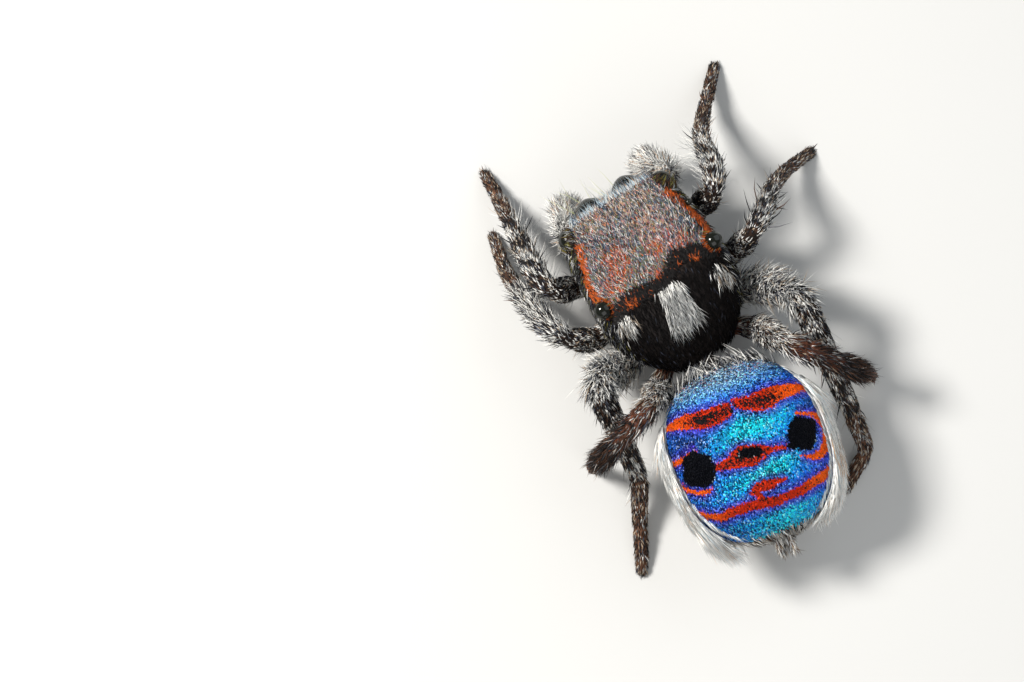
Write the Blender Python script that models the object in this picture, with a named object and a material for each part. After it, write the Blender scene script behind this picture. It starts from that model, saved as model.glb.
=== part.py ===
"""A male peacock spider at life size, standing with its fan folded, as a still model.

The spider faces -Y with its right side towards -X, and stands on the floor at Z = 0. Shapes are
worked out in millimetres in the body's own directions (forward, right, up) from the waist, and
each finished mesh is scaled to metres.
"""

import math

import bmesh
import bpy
import numpy as np
from mathutils import Vector
from mathutils.bvhtree import BVHTree

METRES = 0.001

# Clearance between neighbouring pieces and the least width of a face, in mm
GAP = 0.03
SLIVER = 0.0002

# Head shell, in mm: its place and turn, and its sections at stations forward of its rear edge
SHELL_LENGTH = 1.89
HEAD_TURN = 5.5
HEAD_OFFSET = 0.03
SHELL_STATIONS = (0.0, 0.25, 0.6, 1.0, 1.5, 2.03)
SHELL_HALF_WIDTHS = (0.40, 0.64, 0.81, 0.82, 0.77, 0.69)
SHELL_TOPS = (1.03, 1.26, 1.48, 1.56, 1.56, 1.46)
SHELL_FLOORS = (0.64, 0.60, 0.59, 0.59, 0.66, 0.82)
SHELL_BOX = (2.1, 2.3, 2.8, 3.6, 3.8, 3.6)
SHELL_TAPER = 0.05
SHELL_SIDES = 28

# Breast plate under the shell
BREAST_LENGTH = 1.46
BREAST_REAR = 0.12
BREAST_HALF_WIDTH = 0.34
BREAST_FLOOR = 0.30
BREAST_TOP = 0.55
BREAST_SIDES = 16

# Eyes: distance forward and out, height and radius in mm
EYES = {
    "front_middle": (1.90, 0.240, 1.210, 0.210),
    "front_side": (1.80, 0.610, 1.270, 0.125),
    "rear_middle": (1.42, 0.725, 1.400, 0.040),
    "rear": (0.90, 0.720, 1.400, 0.105),
}

# Jaws, and feelers from the base to the tip, in the head's own frame
JAW_TOP = (1.86, 0.165, 0.725)
JAW_TIP = (1.98, 0.130, 0.270)
JAW_RADIUS = 0.130
FEELER_LEFT = (
    (1.66, -0.42, 0.56),
    (1.91, -0.62, 0.58),
    (2.02, -0.63, 0.84),
    (2.19, -0.45, 0.90),
    (2.25, -0.42, 0.42),
)
FEELER_RIGHT = (
    (1.66, 0.42, 0.56),
    (1.88, 0.71, 0.58),
    (1.98, 0.80, 0.84),
    (2.16, 0.63, 0.90),
    (2.21, 0.58, 0.42),
)
FEELER_RADIUS = 0.070
FEELER_BRUSH_RADIUS = 0.15

# Waist and abdomen: centre forward of the waist, half sizes, heights and turn
WAIST_RADIUS = 0.11
WAIST_HEIGHT = 0.82
ABDOMEN_CENTRE = -1.33
ABDOMEN_TURN = -6.0
ABDOMEN_HALF_WIDTH = 0.915
ABDOMEN_HALF_LENGTH = 1.09
ABDOMEN_MIDDLE = 1.02
ABDOMEN_TOP = 1.60
ABDOMEN_FLOOR = 0.48
ABDOMEN_SIDES = 30
ABDOMEN_RINGS = 17
FAN_THICKNESS = 0.09
FAN_GAP = 0.045
SPINNERET_HEIGHT = 0.94
SPINNERET_LENGTH = 0.20

# Legs, left and right: base and hip in the head's frame, then knee, shin end, ankle and tip, each
# forward, out and up from the waist
LEG_BASES = {1: (1.34, 0.42, 0.42), 2: (0.86, 0.42, 0.42), 3: (0.52, 0.42, 0.42), 4: (0.18, 0.40, 0.42)}
LEG_HIPS = {1: (1.52, 0.87, 0.43), 2: (0.87, 0.96, 0.44), 3: (0.42, 0.90, 0.46), 4: (-0.02, 0.66, 0.56)}
LEG_JOINTS = {
    (1, "left"): ((1.47, 1.21, 1.00), (2.44, 1.23, 0.42), (2.78, 1.23, 0.18), (3.11, 1.24, 0.0)),
    (1, "right"): ((1.62, 0.98, 1.05), (2.25, 1.10, 0.70), (2.56, 1.28, 0.35), (3.02, 1.62, 0.0)),
    (2, "left"): ((0.92, 1.33, 0.94), (1.71, 1.52, 0.50), (2.02, 1.53, 0.27), (2.42, 1.48, 0.0)),
    (2, "right"): ((0.98, 1.19, 1.00), (1.35, 1.54, 0.70), (1.53, 1.80, 0.35), (1.65, 2.13, 0.0)),
    (3, "left"): ((0.17, 1.17, 1.08), (-0.85, 1.25, 0.42), (-1.21, 1.44, 0.20), (-1.71, 1.68, 0.0)),
    (3, "right"): ((0.03, 1.21, 1.06), (-1.30, 1.19, 0.42), (-1.70, 1.16, 0.18), (-1.93, 0.80, 0.0)),
    (4, "left"): ((-0.38, 0.84, 1.36), (-0.58, 1.60, 0.86), (-0.52, 1.65, 0.45), (-0.44, 1.65, 0.0)),
    (4, "right"): ((-0.48, 0.92, 1.36), (-1.03, 1.48, 0.90), (-1.02, 1.56, 0.45), (-0.95, 1.58, 0.0)),
}
LEG_GIRTH = {1: 0.155, 2: 0.150, 3: 0.165, 4: 0.150}
KNEE_LENGTH = 0.26
TIP_GIRTH = 0.42
SOLE_DEPTH = 0.03
LEG_SIDES = 8
LEG_RING_SPACING = 0.15

# Locks and spines: length, width and thickness at the root, and how far the root is sunk
TUFT_LOCK = (0.30, 0.085, 0.045, 0.05)
PATCH_LOCK = (0.24, 0.080, 0.040, 0.05)
CREST_LOCK = (0.26, 0.100, 0.045, 0.06)
FRINGE_LOCK = (0.36, 0.095, 0.050, 0.03)
BRUSH_LOCK = (0.22, 0.100, 0.050, 0.05)
COAT_LOCK = (0.30, 0.090, 0.045, 0.05)
THIGH_FRINGE_LOCK = (0.30, 0.085, 0.040, 0.05)
SHIN_BRUSH_LOCK = (0.26, 0.085, 0.040, 0.05)
SPINE = (0.22, 0.034, 0.034, 0.05)

COLOURS = {
    "shell": (0.030, 0.026, 0.024),
    "eye": (0.006, 0.006, 0.008),
    "skin": (0.060, 0.045, 0.036),
    "feeler": (0.420, 0.400, 0.360),
    "fan": (0.620, 0.600, 0.560),
    "scales": (0.030, 0.140, 0.420),
    "leg": (0.140, 0.110, 0.090),
}
ROUGHNESS = {"shell": 0.45, "eye": 0.05, "skin": 0.5, "feeler": 0.7, "fan": 0.6, "scales": 0.35, "leg": 0.6}


# Shapes as arrays


def curve(at, stations, values):
    """A smooth curve through values at stations: cubic pieces whose slopes are the local mean slopes."""
    x, y = np.asarray(stations, float), np.asarray(values, float)
    at = np.atleast_1d(np.asarray(at, float))
    slopes = np.gradient(y, x)
    i = np.clip(np.searchsorted(x, at) - 1, 0, len(x) - 2)
    h = x[i + 1] - x[i]
    t = np.clip((at - x[i]) / h, 0, 1)
    start = (1 + 2 * t) * (1 - t) ** 2 * y[i] + t * (1 - t) ** 2 * h * slopes[i]
    end = t**2 * (3 - 2 * t) * y[i + 1] + t**2 * (t - 1) * h * slopes[i + 1]
    return start + end


def bulge(angle, power):
    """Cosine and sine of an angle pushed towards the corners of a box by a power over 2."""
    c, s = np.cos(angle), np.sin(angle)
    return np.sign(c) * np.abs(c) ** (2 / power), np.sign(s) * np.abs(s) ** (2 / power)


def turned(points, degrees):
    """Points turned about the vertical through the waist, left for a positive angle."""
    a = math.radians(degrees)
    spin = np.array([[math.cos(a), math.sin(a), 0], [-math.sin(a), math.cos(a), 0], [0, 0, 1]])
    return points @ spin.T


def in_head(points):
    """Points of the head's own frame, turned about the waist and set over it."""
    return turned(np.asarray(points, float), HEAD_TURN) + (0, HEAD_OFFSET, 0)


def world(points):
    """Forward, right, up turned into X, Y, Z, or back."""
    points = np.asarray(points, float)
    return np.stack([-points[..., 1], -points[..., 0], points[..., 2]], axis=-1)


# Meshes and objects


def mesh_from_rings(name, rings, ends):
    """A closed mesh from rings of points: quads between rings, and a fan to a point at each end."""
    count, sides = rings.shape[:2]
    points = np.concatenate([rings.reshape(-1, 3), np.asarray(ends, float)])
    first, last = count * sides, count * sides + 1
    faces = []
    for r in range(count - 1):
        for s in range(sides):
            a, b = r * sides + s, r * sides + (s + 1) % sides
            faces.append((a, b, b + sides, a + sides))
    for s in range(sides):
        faces.append((first, (s + 1) % sides, s))
        faces.append((last, first - sides + s, first - sides + (s + 1) % sides))
    return new_object(name, points, faces)


def plate_from_sheets(name, sheets):
    """A closed plate between two sheets of points of the same shape, closed round its rim."""
    _, rows, columns = sheets.shape[:3]
    index = np.arange(2 * rows * columns).reshape(2, rows, columns)
    faces = []
    for sheet in index:
        quads = (sheet[:-1, :-1], sheet[1:, :-1], sheet[1:, 1:], sheet[:-1, 1:])
        faces += np.stack(quads, axis=-1).reshape(-1, 4).tolist()
    for rim in (index[:, 0], index[:, -1], index[:, :, 0], index[:, :, -1]):
        quads = (rim[0, :-1], rim[0, 1:], rim[1, 1:], rim[1, :-1])
        faces += np.stack(quads, axis=-1).tolist()
    return new_object(name, sheets.reshape(-1, 3), faces)


def new_object(name, points, faces):
    """An object with a mesh whose faces point out, from points in the body's directions."""
    mesh = bpy.data.meshes.new(name)
    mesh.from_pydata(world(points).tolist(), [], faces)
    work = bmesh.new()
    work.from_mesh(mesh)
    bmesh.ops.recalc_face_normals(work, faces=work.faces)
    bmesh.ops.triangulate(work, faces=work.faces)
    work.to_mesh(mesh)
    work.free()
    piece = bpy.data.objects.new(name, mesh)
    bpy.context.scene.collection.objects.link(piece)
    return piece


def cut(piece, cutter):
    """Takes the cutter's shape out of a piece and removes the cutter."""
    cutter.hide_render = True
    cutter.display_type = "WIRE"
    modifier = piece.modifiers.new("cut", "BOOLEAN")
    modifier.operation = "DIFFERENCE"
    modifier.solver = "EXACT"
    modifier.object = cutter
    apply_modifiers(piece)
    bpy.data.objects.remove(cutter)


def apply_modifiers(piece):
    """Makes a piece's mesh what its modifiers show."""
    seen = piece.evaluated_get(bpy.context.evaluated_depsgraph_get())
    mesh = bpy.data.meshes.new_from_object(seen)
    piece.modifiers.clear()
    old, piece.data = piece.data, mesh
    bpy.data.meshes.remove(old)


def ball(name, centre, radius, segments, rings):
    """A closed ball."""
    up = np.linspace(0, math.pi, rings + 1)[1:-1]
    around = np.linspace(0, 2 * math.pi, segments, endpoint=False)
    grid = np.stack(
        [
            np.sin(up)[:, None] * np.cos(around)[None],
            np.sin(up)[:, None] * np.sin(around)[None],
            np.cos(up)[:, None] + 0 * around[None],
        ],
        axis=-1,
    )
    poles = np.array([[0, 0, 1], [0, 0, -1]], float)
    return mesh_from_rings(name, centre + radius * grid, centre + radius * poles)


# Routes and tubes


def rounded(joints, reach):
    """A dense route: straight between joints, each bend a quadratic curve that starts reach before it."""
    joints = [np.asarray(j, float) for j in joints]
    route = [joints[0]]
    for before, joint, after in zip(joints, joints[1:], joints[2:]):
        to_before, to_after = before - joint, after - joint
        back = min(reach, 0.48 * np.linalg.norm(to_before)) / np.linalg.norm(to_before)
        on = min(reach, 0.48 * np.linalg.norm(to_after)) / np.linalg.norm(to_after)
        for t in np.linspace(0, 1, 9):
            start, end = joint + back * to_before, joint + on * to_after
            route.append((1 - t) ** 2 * start + 2 * t * (1 - t) * joint + t**2 * end)
    route.append(joints[-1])
    return np.array(route)


class Route:
    """A route read by its length from the start."""

    def __init__(self, points):
        self.points = points
        self.along = np.concatenate([[0], np.cumsum(np.linalg.norm(np.diff(points, axis=0), axis=1))])

    def at(self, lengths):
        """Points at lengths along the route."""
        return np.stack([np.interp(lengths, self.along, self.points[:, k]) for k in range(3)], axis=-1)

    def heading(self, lengths):
        """Unit directions at lengths along the route."""
        step = 0.02
        ahead = self.at(np.minimum(lengths + step, self.along[-1]))
        behind = self.at(np.maximum(lengths - step, 0))
        way = ahead - behind
        return way / np.linalg.norm(way, axis=-1, keepdims=True)

    def frame(self, length):
        """The point and the unit direction at one length along the route."""
        return self.at(np.array([length]))[0], self.heading(np.array([length]))[0]

    def nearest(self, point):
        """Length along the route at its point nearest to a point."""
        lengths = np.linspace(0, self.along[-1], 600)
        return lengths[np.argmin(np.linalg.norm(self.at(lengths) - point, axis=-1))]


def tube_rings(route, start, end, radius_at, sides, spacing, trims):
    """Rings along a stretch of a route, square to it, the first and last moved inwards by the trims."""
    count = max(3, round((end - start) / spacing) + 1)
    lengths = np.linspace(start, end, count)
    centres, ways = route.at(lengths), route.heading(lengths)
    centres[0] += trims[0] * ways[0]
    centres[-1] -= trims[1] * ways[-1]
    angles = np.linspace(0, 2 * math.pi, sides, endpoint=False)
    rings = []
    side = np.cross(ways[0], (0, 0, 1.0))
    for centre, way, radius in zip(centres, ways, radius_at(lengths)):
        side = side - way * np.dot(side, way)
        side /= np.linalg.norm(side)
        up = np.cross(side, way)
        rings.append(centre + radius * (np.cos(angles)[:, None] * side + np.sin(angles)[:, None] * up))
    return np.array(rings), centres


def tube(name, route, start, end, radius_at, sides=LEG_SIDES, spacing=LEG_RING_SPACING, trims=(0, 0)):
    """A closed tube along a stretch of a route, flat at both ends."""
    rings, centres = tube_rings(route, start, end, radius_at, sides, spacing, trims)
    return mesh_from_rings(name, rings, (centres[0], centres[-1]))


# Locks and spines


class Surface:
    """A solid that locks and spines are rooted on."""

    def __init__(self, piece):
        mesh = piece.data
        corners = [v.co.copy() for v in mesh.vertices]
        self.tree = BVHTree.FromPolygons(corners, [tuple(p.vertices) for p in mesh.polygons])

    def root(self, point):
        """The place on the surface nearest to a point, and the outward direction there."""
        place, normal, _, _ = self.tree.find_nearest(Vector(world(point)))
        return world(place), world(normal)


def lock(surface, point, way, rise, size, sides=3, bands=3):
    """A flat tapered lock: its root sunk in the surface, then bending to lie along a way.

    way is the direction that the tip points in, and rise is how far the tip stands off the surface.
    """
    length, width, thickness, sunk = size
    place, out = surface.root(np.asarray(point, float))
    way = np.asarray(way, float)
    way = way - out * np.dot(way, out)
    way /= np.linalg.norm(way)
    start = place - sunk * out
    bend = place + 0.35 * rise * out + 0.30 * length * way
    tip = place + rise * out + length * way
    across = np.cross(way, out)
    share = np.linspace(0, 0.82, bands + 1)
    spine = ((1 - share) ** 2)[:, None] * start + (2 * share * (1 - share))[:, None] * bend
    spine = spine + (share**2)[:, None] * tip
    taper = (1 - share**2.2)[:, None, None]
    angles = np.linspace(0, 2 * math.pi, sides, endpoint=False) + 0.5 * math.pi
    c, s = np.cos(angles)[:, None], np.sin(angles)[:, None]
    section = 0.58 * width * c * across + 0.5 * thickness * s * out
    rings = spine[:, None] + taper * section[None]
    return mesh_from_rings("lock", rings, (start, tip))


def fuse(piece, locks):
    """Joins locks to the piece that they grow from, as one closed surface."""
    group = bpy.data.collections.new("locks")
    for one in locks:
        group.objects.link(one)
    modifier = piece.modifiers.new("fuse", "BOOLEAN")
    modifier.operation = "UNION"
    modifier.solver = "MANIFOLD"
    modifier.operand_type = "COLLECTION"
    modifier.collection = group
    apply_modifiers(piece)
    for one in locks:
        bpy.data.objects.remove(one)
    bpy.data.collections.remove(group)
    keep_largest(piece)


def keep_largest(piece):
    """Leaves only the largest closed surface of a piece, without its slivers."""
    work = bmesh.new()
    work.from_mesh(piece.data)
    left, shells = set(work.faces), []
    while left:
        shell, edge = set(), [left.pop()]
        while edge:
            face = edge.pop()
            shell.add(face)
            near = {other for line in face.edges for other in line.link_faces} & left
            left -= near
            edge.extend(near)
        shells.append(shell)
    shells.sort(key=len)
    drop = [face for shell in shells[:-1] for face in shell]
    bmesh.ops.delete(work, geom=drop, context="FACES")
    bmesh.ops.dissolve_degenerate(work, dist=SLIVER, edges=work.edges)
    bmesh.ops.triangulate(work, faces=work.faces)
    work.to_mesh(piece.data)
    work.free()


# The animal


def shell_ring(forward, scale=1.0):
    """One section of the head shell: a rounded box that narrows upwards."""
    width = curve(forward, SHELL_STATIONS, SHELL_HALF_WIDTHS)[0]
    top = curve(forward, SHELL_STATIONS, SHELL_TOPS)[0]
    floor = curve(forward, SHELL_STATIONS, SHELL_FLOORS)[0]
    power = curve(forward, SHELL_STATIONS, SHELL_BOX)[0]
    middle = floor + 0.30 * (top - floor)
    angles = np.linspace(0, 2 * math.pi, SHELL_SIDES, endpoint=False)
    c, s = bulge(angles, power)
    across = width * c * (1 - SHELL_TAPER * np.maximum(s, 0))
    height = np.where(s > 0, s * (top - middle), s * (middle - floor))
    centre = 0.5 * (top + floor)
    up = centre + (middle + height - centre) * scale
    return np.stack([np.full(SHELL_SIDES, forward), across * scale, up], axis=-1)


def build_shell():
    """The head shell, with a cup for each eye, the white tuft on its back and a patch on each side."""
    stations = np.concatenate([np.linspace(0, SHELL_LENGTH - 0.08, 15), [SHELL_LENGTH - 0.03]])
    rings = [shell_ring(0.0, 0.72) - (0.06, 0, 0)]
    rings += [shell_ring(f) for f in stations]
    rings += [shell_ring(SHELL_LENGTH, 0.955), shell_ring(SHELL_LENGTH, 0.87) + (0.03, 0, 0)]
    rings = np.array(rings)
    ends = (rings[0].mean(axis=0) - (0.02, 0, 0), rings[-1].mean(axis=0) + (0.005, 0, 0))
    shell = mesh_from_rings("head_shell", in_head(rings), in_head(ends))
    surface = Surface(shell)
    locks = []
    for row, forward in enumerate(np.linspace(0.72, 0.36, 4)):
        spread = 0.08 + 0.045 * row
        for across in np.linspace(-spread, spread, 3 + row // 2):
            way = (-1, 0.5 * across, 0)
            locks.append(lock(surface, in_head([forward, across + 0.02, 1.6]), way, 0.09, TUFT_LOCK))
    for side in (-1, 1):
        for row, forward in enumerate((0.66, 0.54, 0.42)):
            for across in (0.50, 0.64):
                way = (-1, 0.25 * side, 0)
                place = in_head([forward, side * across, 1.35 - 0.06 * row])
                locks.append(lock(surface, place, way, 0.07, PATCH_LOCK))
    fuse(shell, locks)
    for kind in EYES:
        for side in (-1, 1):
            centre, radius = eye_place(kind, side)
            sides = eye_sides(radius)
            cut(shell, ball("cup", centre, radius + GAP, sides, sides // 2 + 1))
    keep_largest(shell)
    return shell


def eye_place(kind, side):
    """Centre and radius of an eye."""
    forward, out, up, radius = EYES[kind]
    return in_head([forward, side * out, up]), radius


def eye_sides(radius):
    """How many sides an eye's ball has."""
    return 18 if radius > 0.15 else 12 if radius > 0.08 else 8


def build_eyes():
    """Four pairs of eyes: two big ones in the middle of the face, and six smaller ones."""
    pieces = []
    for kind, (_, _, _, radius) in EYES.items():
        for side, word in ((-1, "left"), (1, "right")):
            centre, _ = eye_place(kind, side)
            sides = eye_sides(radius)
            pieces.append(ball(f"eye_{kind}_{word}", centre, radius, sides, sides // 2 + 1))
    return pieces


def build_breast():
    """The plate that closes the head from below, between the legs."""
    forward = np.linspace(0, 1, 8)
    outline = BREAST_HALF_WIDTH * np.sin(math.pi * (0.12 + 0.76 * forward)) ** 0.5
    angles = np.linspace(0, 2 * math.pi, BREAST_SIDES, endpoint=False)
    c, s = bulge(angles, 2.8)
    middle, half = 0.5 * (BREAST_TOP + BREAST_FLOOR), 0.5 * (BREAST_TOP - BREAST_FLOOR)
    rings = np.stack(
        [
            np.repeat((BREAST_REAR + BREAST_LENGTH * forward)[:, None], BREAST_SIDES, axis=1),
            outline[:, None] * c[None],
            middle + half * s[None] + 0 * outline[:, None],
        ],
        axis=-1,
    )
    ends = np.array([rings[0].mean(axis=0) - (0.04, 0, 0), rings[-1].mean(axis=0) + (0.04, 0, 0)])
    return mesh_from_rings("breast_plate", in_head(rings), in_head(ends))


def build_jaws():
    """Two jaws that hang under the face and narrow to a fang."""
    pieces = []
    for side, word in ((-1, "left"), (1, "right")):
        top = in_head(np.array(JAW_TOP) * (1, side, 1))
        tip = in_head(np.array(JAW_TIP) * (1, side, 1))
        bend = 0.5 * (top + tip) + (0.05, 0, 0)
        route = Route(rounded((top, bend, tip), 0.15))
        total = route.along[-1]
        stations = np.array([0.0, 0.2, 0.6, 0.85, 1.0]) * total
        widths = JAW_RADIUS * np.array([0.75, 1.0, 0.92, 0.6, 0.25])
        pieces.append(tube(f"jaw_{word}", route, 0, total, lambda s: curve(s, stations, widths), 10, 0.08))
    return pieces


def build_feelers():
    """Two feelers, each an arm that comes out beside the jaws and a shaggy brush that hangs from it."""
    pieces = []
    for word, joints in (("left", FEELER_LEFT), ("right", FEELER_RIGHT)):
        joints = in_head(joints)
        route = Route(rounded(joints, 0.10))
        total, elbow = route.along[-1], route.nearest(0.5 * (joints[2] + joints[3]))
        arm = tube(f"feeler_arm_{word}", route, 0, elbow, lambda s: 0 * s + FEELER_RADIUS, trims=(0, 1.5 * GAP))
        span = np.linspace(elbow, total, 6)
        widths = FEELER_BRUSH_RADIUS * np.array([0.40, 0.80, 1.0, 0.90, 0.6, 0.2])
        name = f"feeler_brush_{word}"
        brush = tube(name, route, elbow, total, lambda s: curve(s, span, widths), 8, 0.1, (1.5 * GAP, 0))
        surface = Surface(brush)
        locks = []
        for row, share in enumerate((0.34, 0.50, 0.68)):
            length = elbow + share * (total - elbow)
            centre, way = route.frame(length)
            for turn in np.radians(np.linspace(-105, 105, 6)) + 0.15 * (row - 1):
                away = np.array([math.cos(turn), math.sin(turn), 0.2])
                locks.append(lock(surface, centre + 0.3 * away, way, 0.03, BRUSH_LOCK))
        fuse(brush, locks)
        pieces += [arm, brush]
    return pieces


def abdomen_grid(along, angles, grow=0.0):
    """Points on the abdomen: a rounded box whose sections shrink to its ends, pushed out by grow.

    along runs from -1 at the rear to 1 at the front, and angles go round from the right side upwards.
    """
    along, angles = np.meshgrid(along, angles, indexing="ij")
    shape = np.maximum(1 - np.abs(along) ** 2.4, 0) ** (1 / 2.2)
    c, s = bulge(angles, 2.5)
    across = (ABDOMEN_HALF_WIDTH * shape + grow) * c
    lift = 0.06 * along * shape
    up = (ABDOMEN_TOP - ABDOMEN_MIDDLE) * shape + grow
    down = (ABDOMEN_MIDDLE - ABDOMEN_FLOOR) * shape + grow
    height = ABDOMEN_MIDDLE - 0.08 * (1 - shape) + lift + np.where(s > 0, s * up, s * down)
    return np.stack([(ABDOMEN_HALF_LENGTH + grow) * along, across, height], axis=-1)


def abdomen_stations():
    """Where the abdomen's sections stand between its ends, closer together near them."""
    return np.sin(np.linspace(-0.5 * math.pi, 0.5 * math.pi, ABDOMEN_RINGS + 2))[1:-1]


def abdomen_place(points):
    """Points of the abdomen's own frame set behind the waist and turned."""
    centre = np.array([ABDOMEN_CENTRE, 0.0, 0.0])
    return turned(points, ABDOMEN_TURN) + centre


def build_abdomen():
    """The abdomen, with the patterned plate as its flat top and the crest of bristles on its front edge."""
    angles = np.linspace(0, 2 * math.pi, ABDOMEN_SIDES, endpoint=False)
    rings = abdomen_place(abdomen_grid(abdomen_stations(), angles))
    ends = abdomen_place(np.array([[-ABDOMEN_HALF_LENGTH, 0, 0.94], [ABDOMEN_HALF_LENGTH, 0, 0.94]]))
    abdomen = mesh_from_rings("abdomen", rings, ends)
    surface = Surface(abdomen)
    locks = []
    for row, along in enumerate((0.925, 0.805)):
        for turn in np.radians(np.linspace(45, 135, 11 - row)):
            place = abdomen_place(abdomen_grid([along], [turn]))[0, 0]
            way = (1, -0.6 * math.cos(turn), 0.3)
            locks.append(lock(surface, place, way, 0.16, CREST_LOCK))
    fuse(abdomen, locks)
    return abdomen


def build_fan():
    """The two flaps of the folded fan, each a thin plate round one side of the abdomen with a long fringe."""
    pieces = []
    along = abdomen_stations()[1:12]
    angles = 2 * math.pi / ABDOMEN_SIDES * np.arange(2, -6, -1)
    for side, word in ((-1, "left"), (1, "right")):
        inner = abdomen_grid(along, angles, FAN_GAP)
        edge = np.sin(np.linspace(0.12, math.pi - 0.12, len(angles)))[None, :, None] ** 0.6
        outer = inner + edge * (abdomen_grid(along, angles, FAN_GAP + FAN_THICKNESS) - inner)
        sheets = abdomen_place(np.stack([outer, inner]) * (1, side, 1))
        flap = plate_from_sheets(f"fan_{word}", sheets)
        surface = Surface(flap)
        locks = []
        for row, angle in enumerate((10, -12, -36)):
            for share in np.linspace(0.38 - 0.08 * row, -0.84, 7):
                stations = [share, share - 0.08]
                line = abdomen_grid(stations, [math.radians(angle)], FAN_GAP + FAN_THICKNESS)[:, 0]
                root, ahead = abdomen_place(line * (1, side, 1))
                locks.append(lock(surface, root, ahead - root, 0.05, FRINGE_LOCK))
        fuse(flap, locks)
        pieces.append(flap)
    return pieces


def build_spinnerets():
    """The short cluster that ends the abdomen."""
    start = np.array([-ABDOMEN_HALF_LENGTH - 1.5 * GAP, 0, SPINNERET_HEIGHT])
    end = start - (SPINNERET_LENGTH, 0, 0.05)
    route = Route(abdomen_place(np.array([start, end])))
    total = route.along[-1]
    stations, widths = np.array([0, 0.3, 0.75, 1.0]) * total, np.array([0.07, 0.12, 0.10, 0.05])
    return tube("spinnerets", route, 0, total, lambda s: curve(s, stations, widths), 10, 0.05)


def build_waist():
    """The narrow stalk between the head and the abdomen."""
    start = np.array([-0.08 - 1.5 * GAP, 0, WAIST_HEIGHT])
    end = np.array([ABDOMEN_CENTRE + ABDOMEN_HALF_LENGTH + 1.5 * GAP, 0, WAIST_HEIGHT])
    route = Route(np.array([start, end]))
    return tube("waist", route, 0, route.along[-1], lambda s: 0 * s + WAIST_RADIUS, 12, 0.05)


def leg_route(number, word):
    """A leg's route from its base to its tip, and the lengths where the knee and the foot start."""
    side = -1 if word == "left" else 1
    base, hip = (in_head(np.array(j[number]) * (1, side, 1)) for j in (LEG_BASES, LEG_HIPS))
    knee, shin, ankle, tip = (np.array(j) * (1, side, 1) for j in LEG_JOINTS[number, word])
    level = np.linalg.norm((tip - ankle)[:2]) / np.linalg.norm(tip - ankle)
    tip[2] = level * TIP_GIRTH * LEG_GIRTH[number] - SOLE_DEPTH
    to_knee, from_knee = knee - hip, shin - knee
    across = to_knee / np.linalg.norm(to_knee) + from_knee / np.linalg.norm(from_knee)
    across *= 0.5 * KNEE_LENGTH / np.linalg.norm(across)
    route = Route(rounded((base, hip, knee - across, knee + across, shin, ankle, tip), 0.14))
    return route, route.nearest(knee - across), route.nearest(shin)


def coat(surface, route, start, end, rows, turns, rise, size, girth):
    """Locks in rings round a stretch of a leg, lying towards its tip, each ring turned from the last."""
    locks = []
    for row, length in enumerate(np.linspace(start, end, rows)):
        centre, way = route.frame(length)
        side = np.cross(way, (0, 0, 1.0))
        side /= np.linalg.norm(side)
        up = np.cross(side, way)
        up *= math.copysign(1, up[2])
        for turn in np.radians(turns) + (0.35 if row % 2 else 0):
            away = math.cos(turn) * up + math.sin(turn) * side
            locks.append(lock(surface, centre + girth * away, way, rise, size))
    return locks


def thigh_locks(number, surface, route, knee, girth):
    """The locks of a thigh: a long fringe on the third leg, and a short coat on the others."""
    if number == 3:
        turns = (20, 80, 140, -140, -70)
        return coat(surface, route, 0.38 * knee, 0.58 * knee, 2, turns, 0.16, THIGH_FRINGE_LOCK, girth)
    return coat(surface, route, 0.40 * knee, 0.60 * knee, 2, (0, 80), 0.07, COAT_LOCK, girth)


def shin_locks(number, surface, route, knee, ankle, girth):
    """The locks of a shin: a dark brush at its end on the fourth leg, and spines or a short coat."""
    length = ankle - knee
    start, end = knee + 0.22 * length, ankle - 0.55 * length
    locks = coat(surface, route, start, end, 2, (0, 120, 240), 0.06, COAT_LOCK, girth)
    if number == 4:
        start, end = ankle - 0.34 * length, ankle - 0.26 * length
        locks += coat(surface, route, start, end, 2, (0, 72, 144, 216, 288), 0.13, SHIN_BRUSH_LOCK, girth)
    elif number < 3:
        start, end = ankle - 0.45 * length, ankle - 0.30 * length
        locks += coat(surface, route, start, end, 2, (60, 180), 0.14, SPINE, girth)
    return locks


def build_legs():
    """Eight legs, each a thigh, a shin with the knee, and a foot with its flat on the floor."""
    pieces = []
    for number, word in LEG_JOINTS:
        route, knee, ankle = leg_route(number, word)
        total, girth = route.along[-1], LEG_GIRTH[number]
        middle = 0.5 * (knee + ankle)
        stations = np.array([0, 0.25 * knee, 0.7 * knee, knee, knee + 0.2, middle, ankle, total])
        widths = girth * np.array([0.72, 0.80, 0.95, 0.74, 0.84, 0.80, 0.64, TIP_GIRTH])

        def radius_at(s):
            return curve(s, stations, widths)

        name = f"leg_{number}_{word}"
        half = 0.5 * GAP
        thigh = tube(f"{name}_thigh", route, 0, knee, radius_at, trims=(0, half))
        shin = tube(f"{name}_shin", route, knee, ankle, radius_at, trims=(half, half))
        foot = tube(f"{name}_foot", route, ankle, total, radius_at, trims=(half, 0))
        fuse(thigh, thigh_locks(number, Surface(thigh), route, knee, girth))
        fuse(shin, shin_locks(number, Surface(shin), route, knee, ankle, girth))
        flatten(foot)
        pieces += [thigh, shin, foot]
    return pieces


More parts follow.
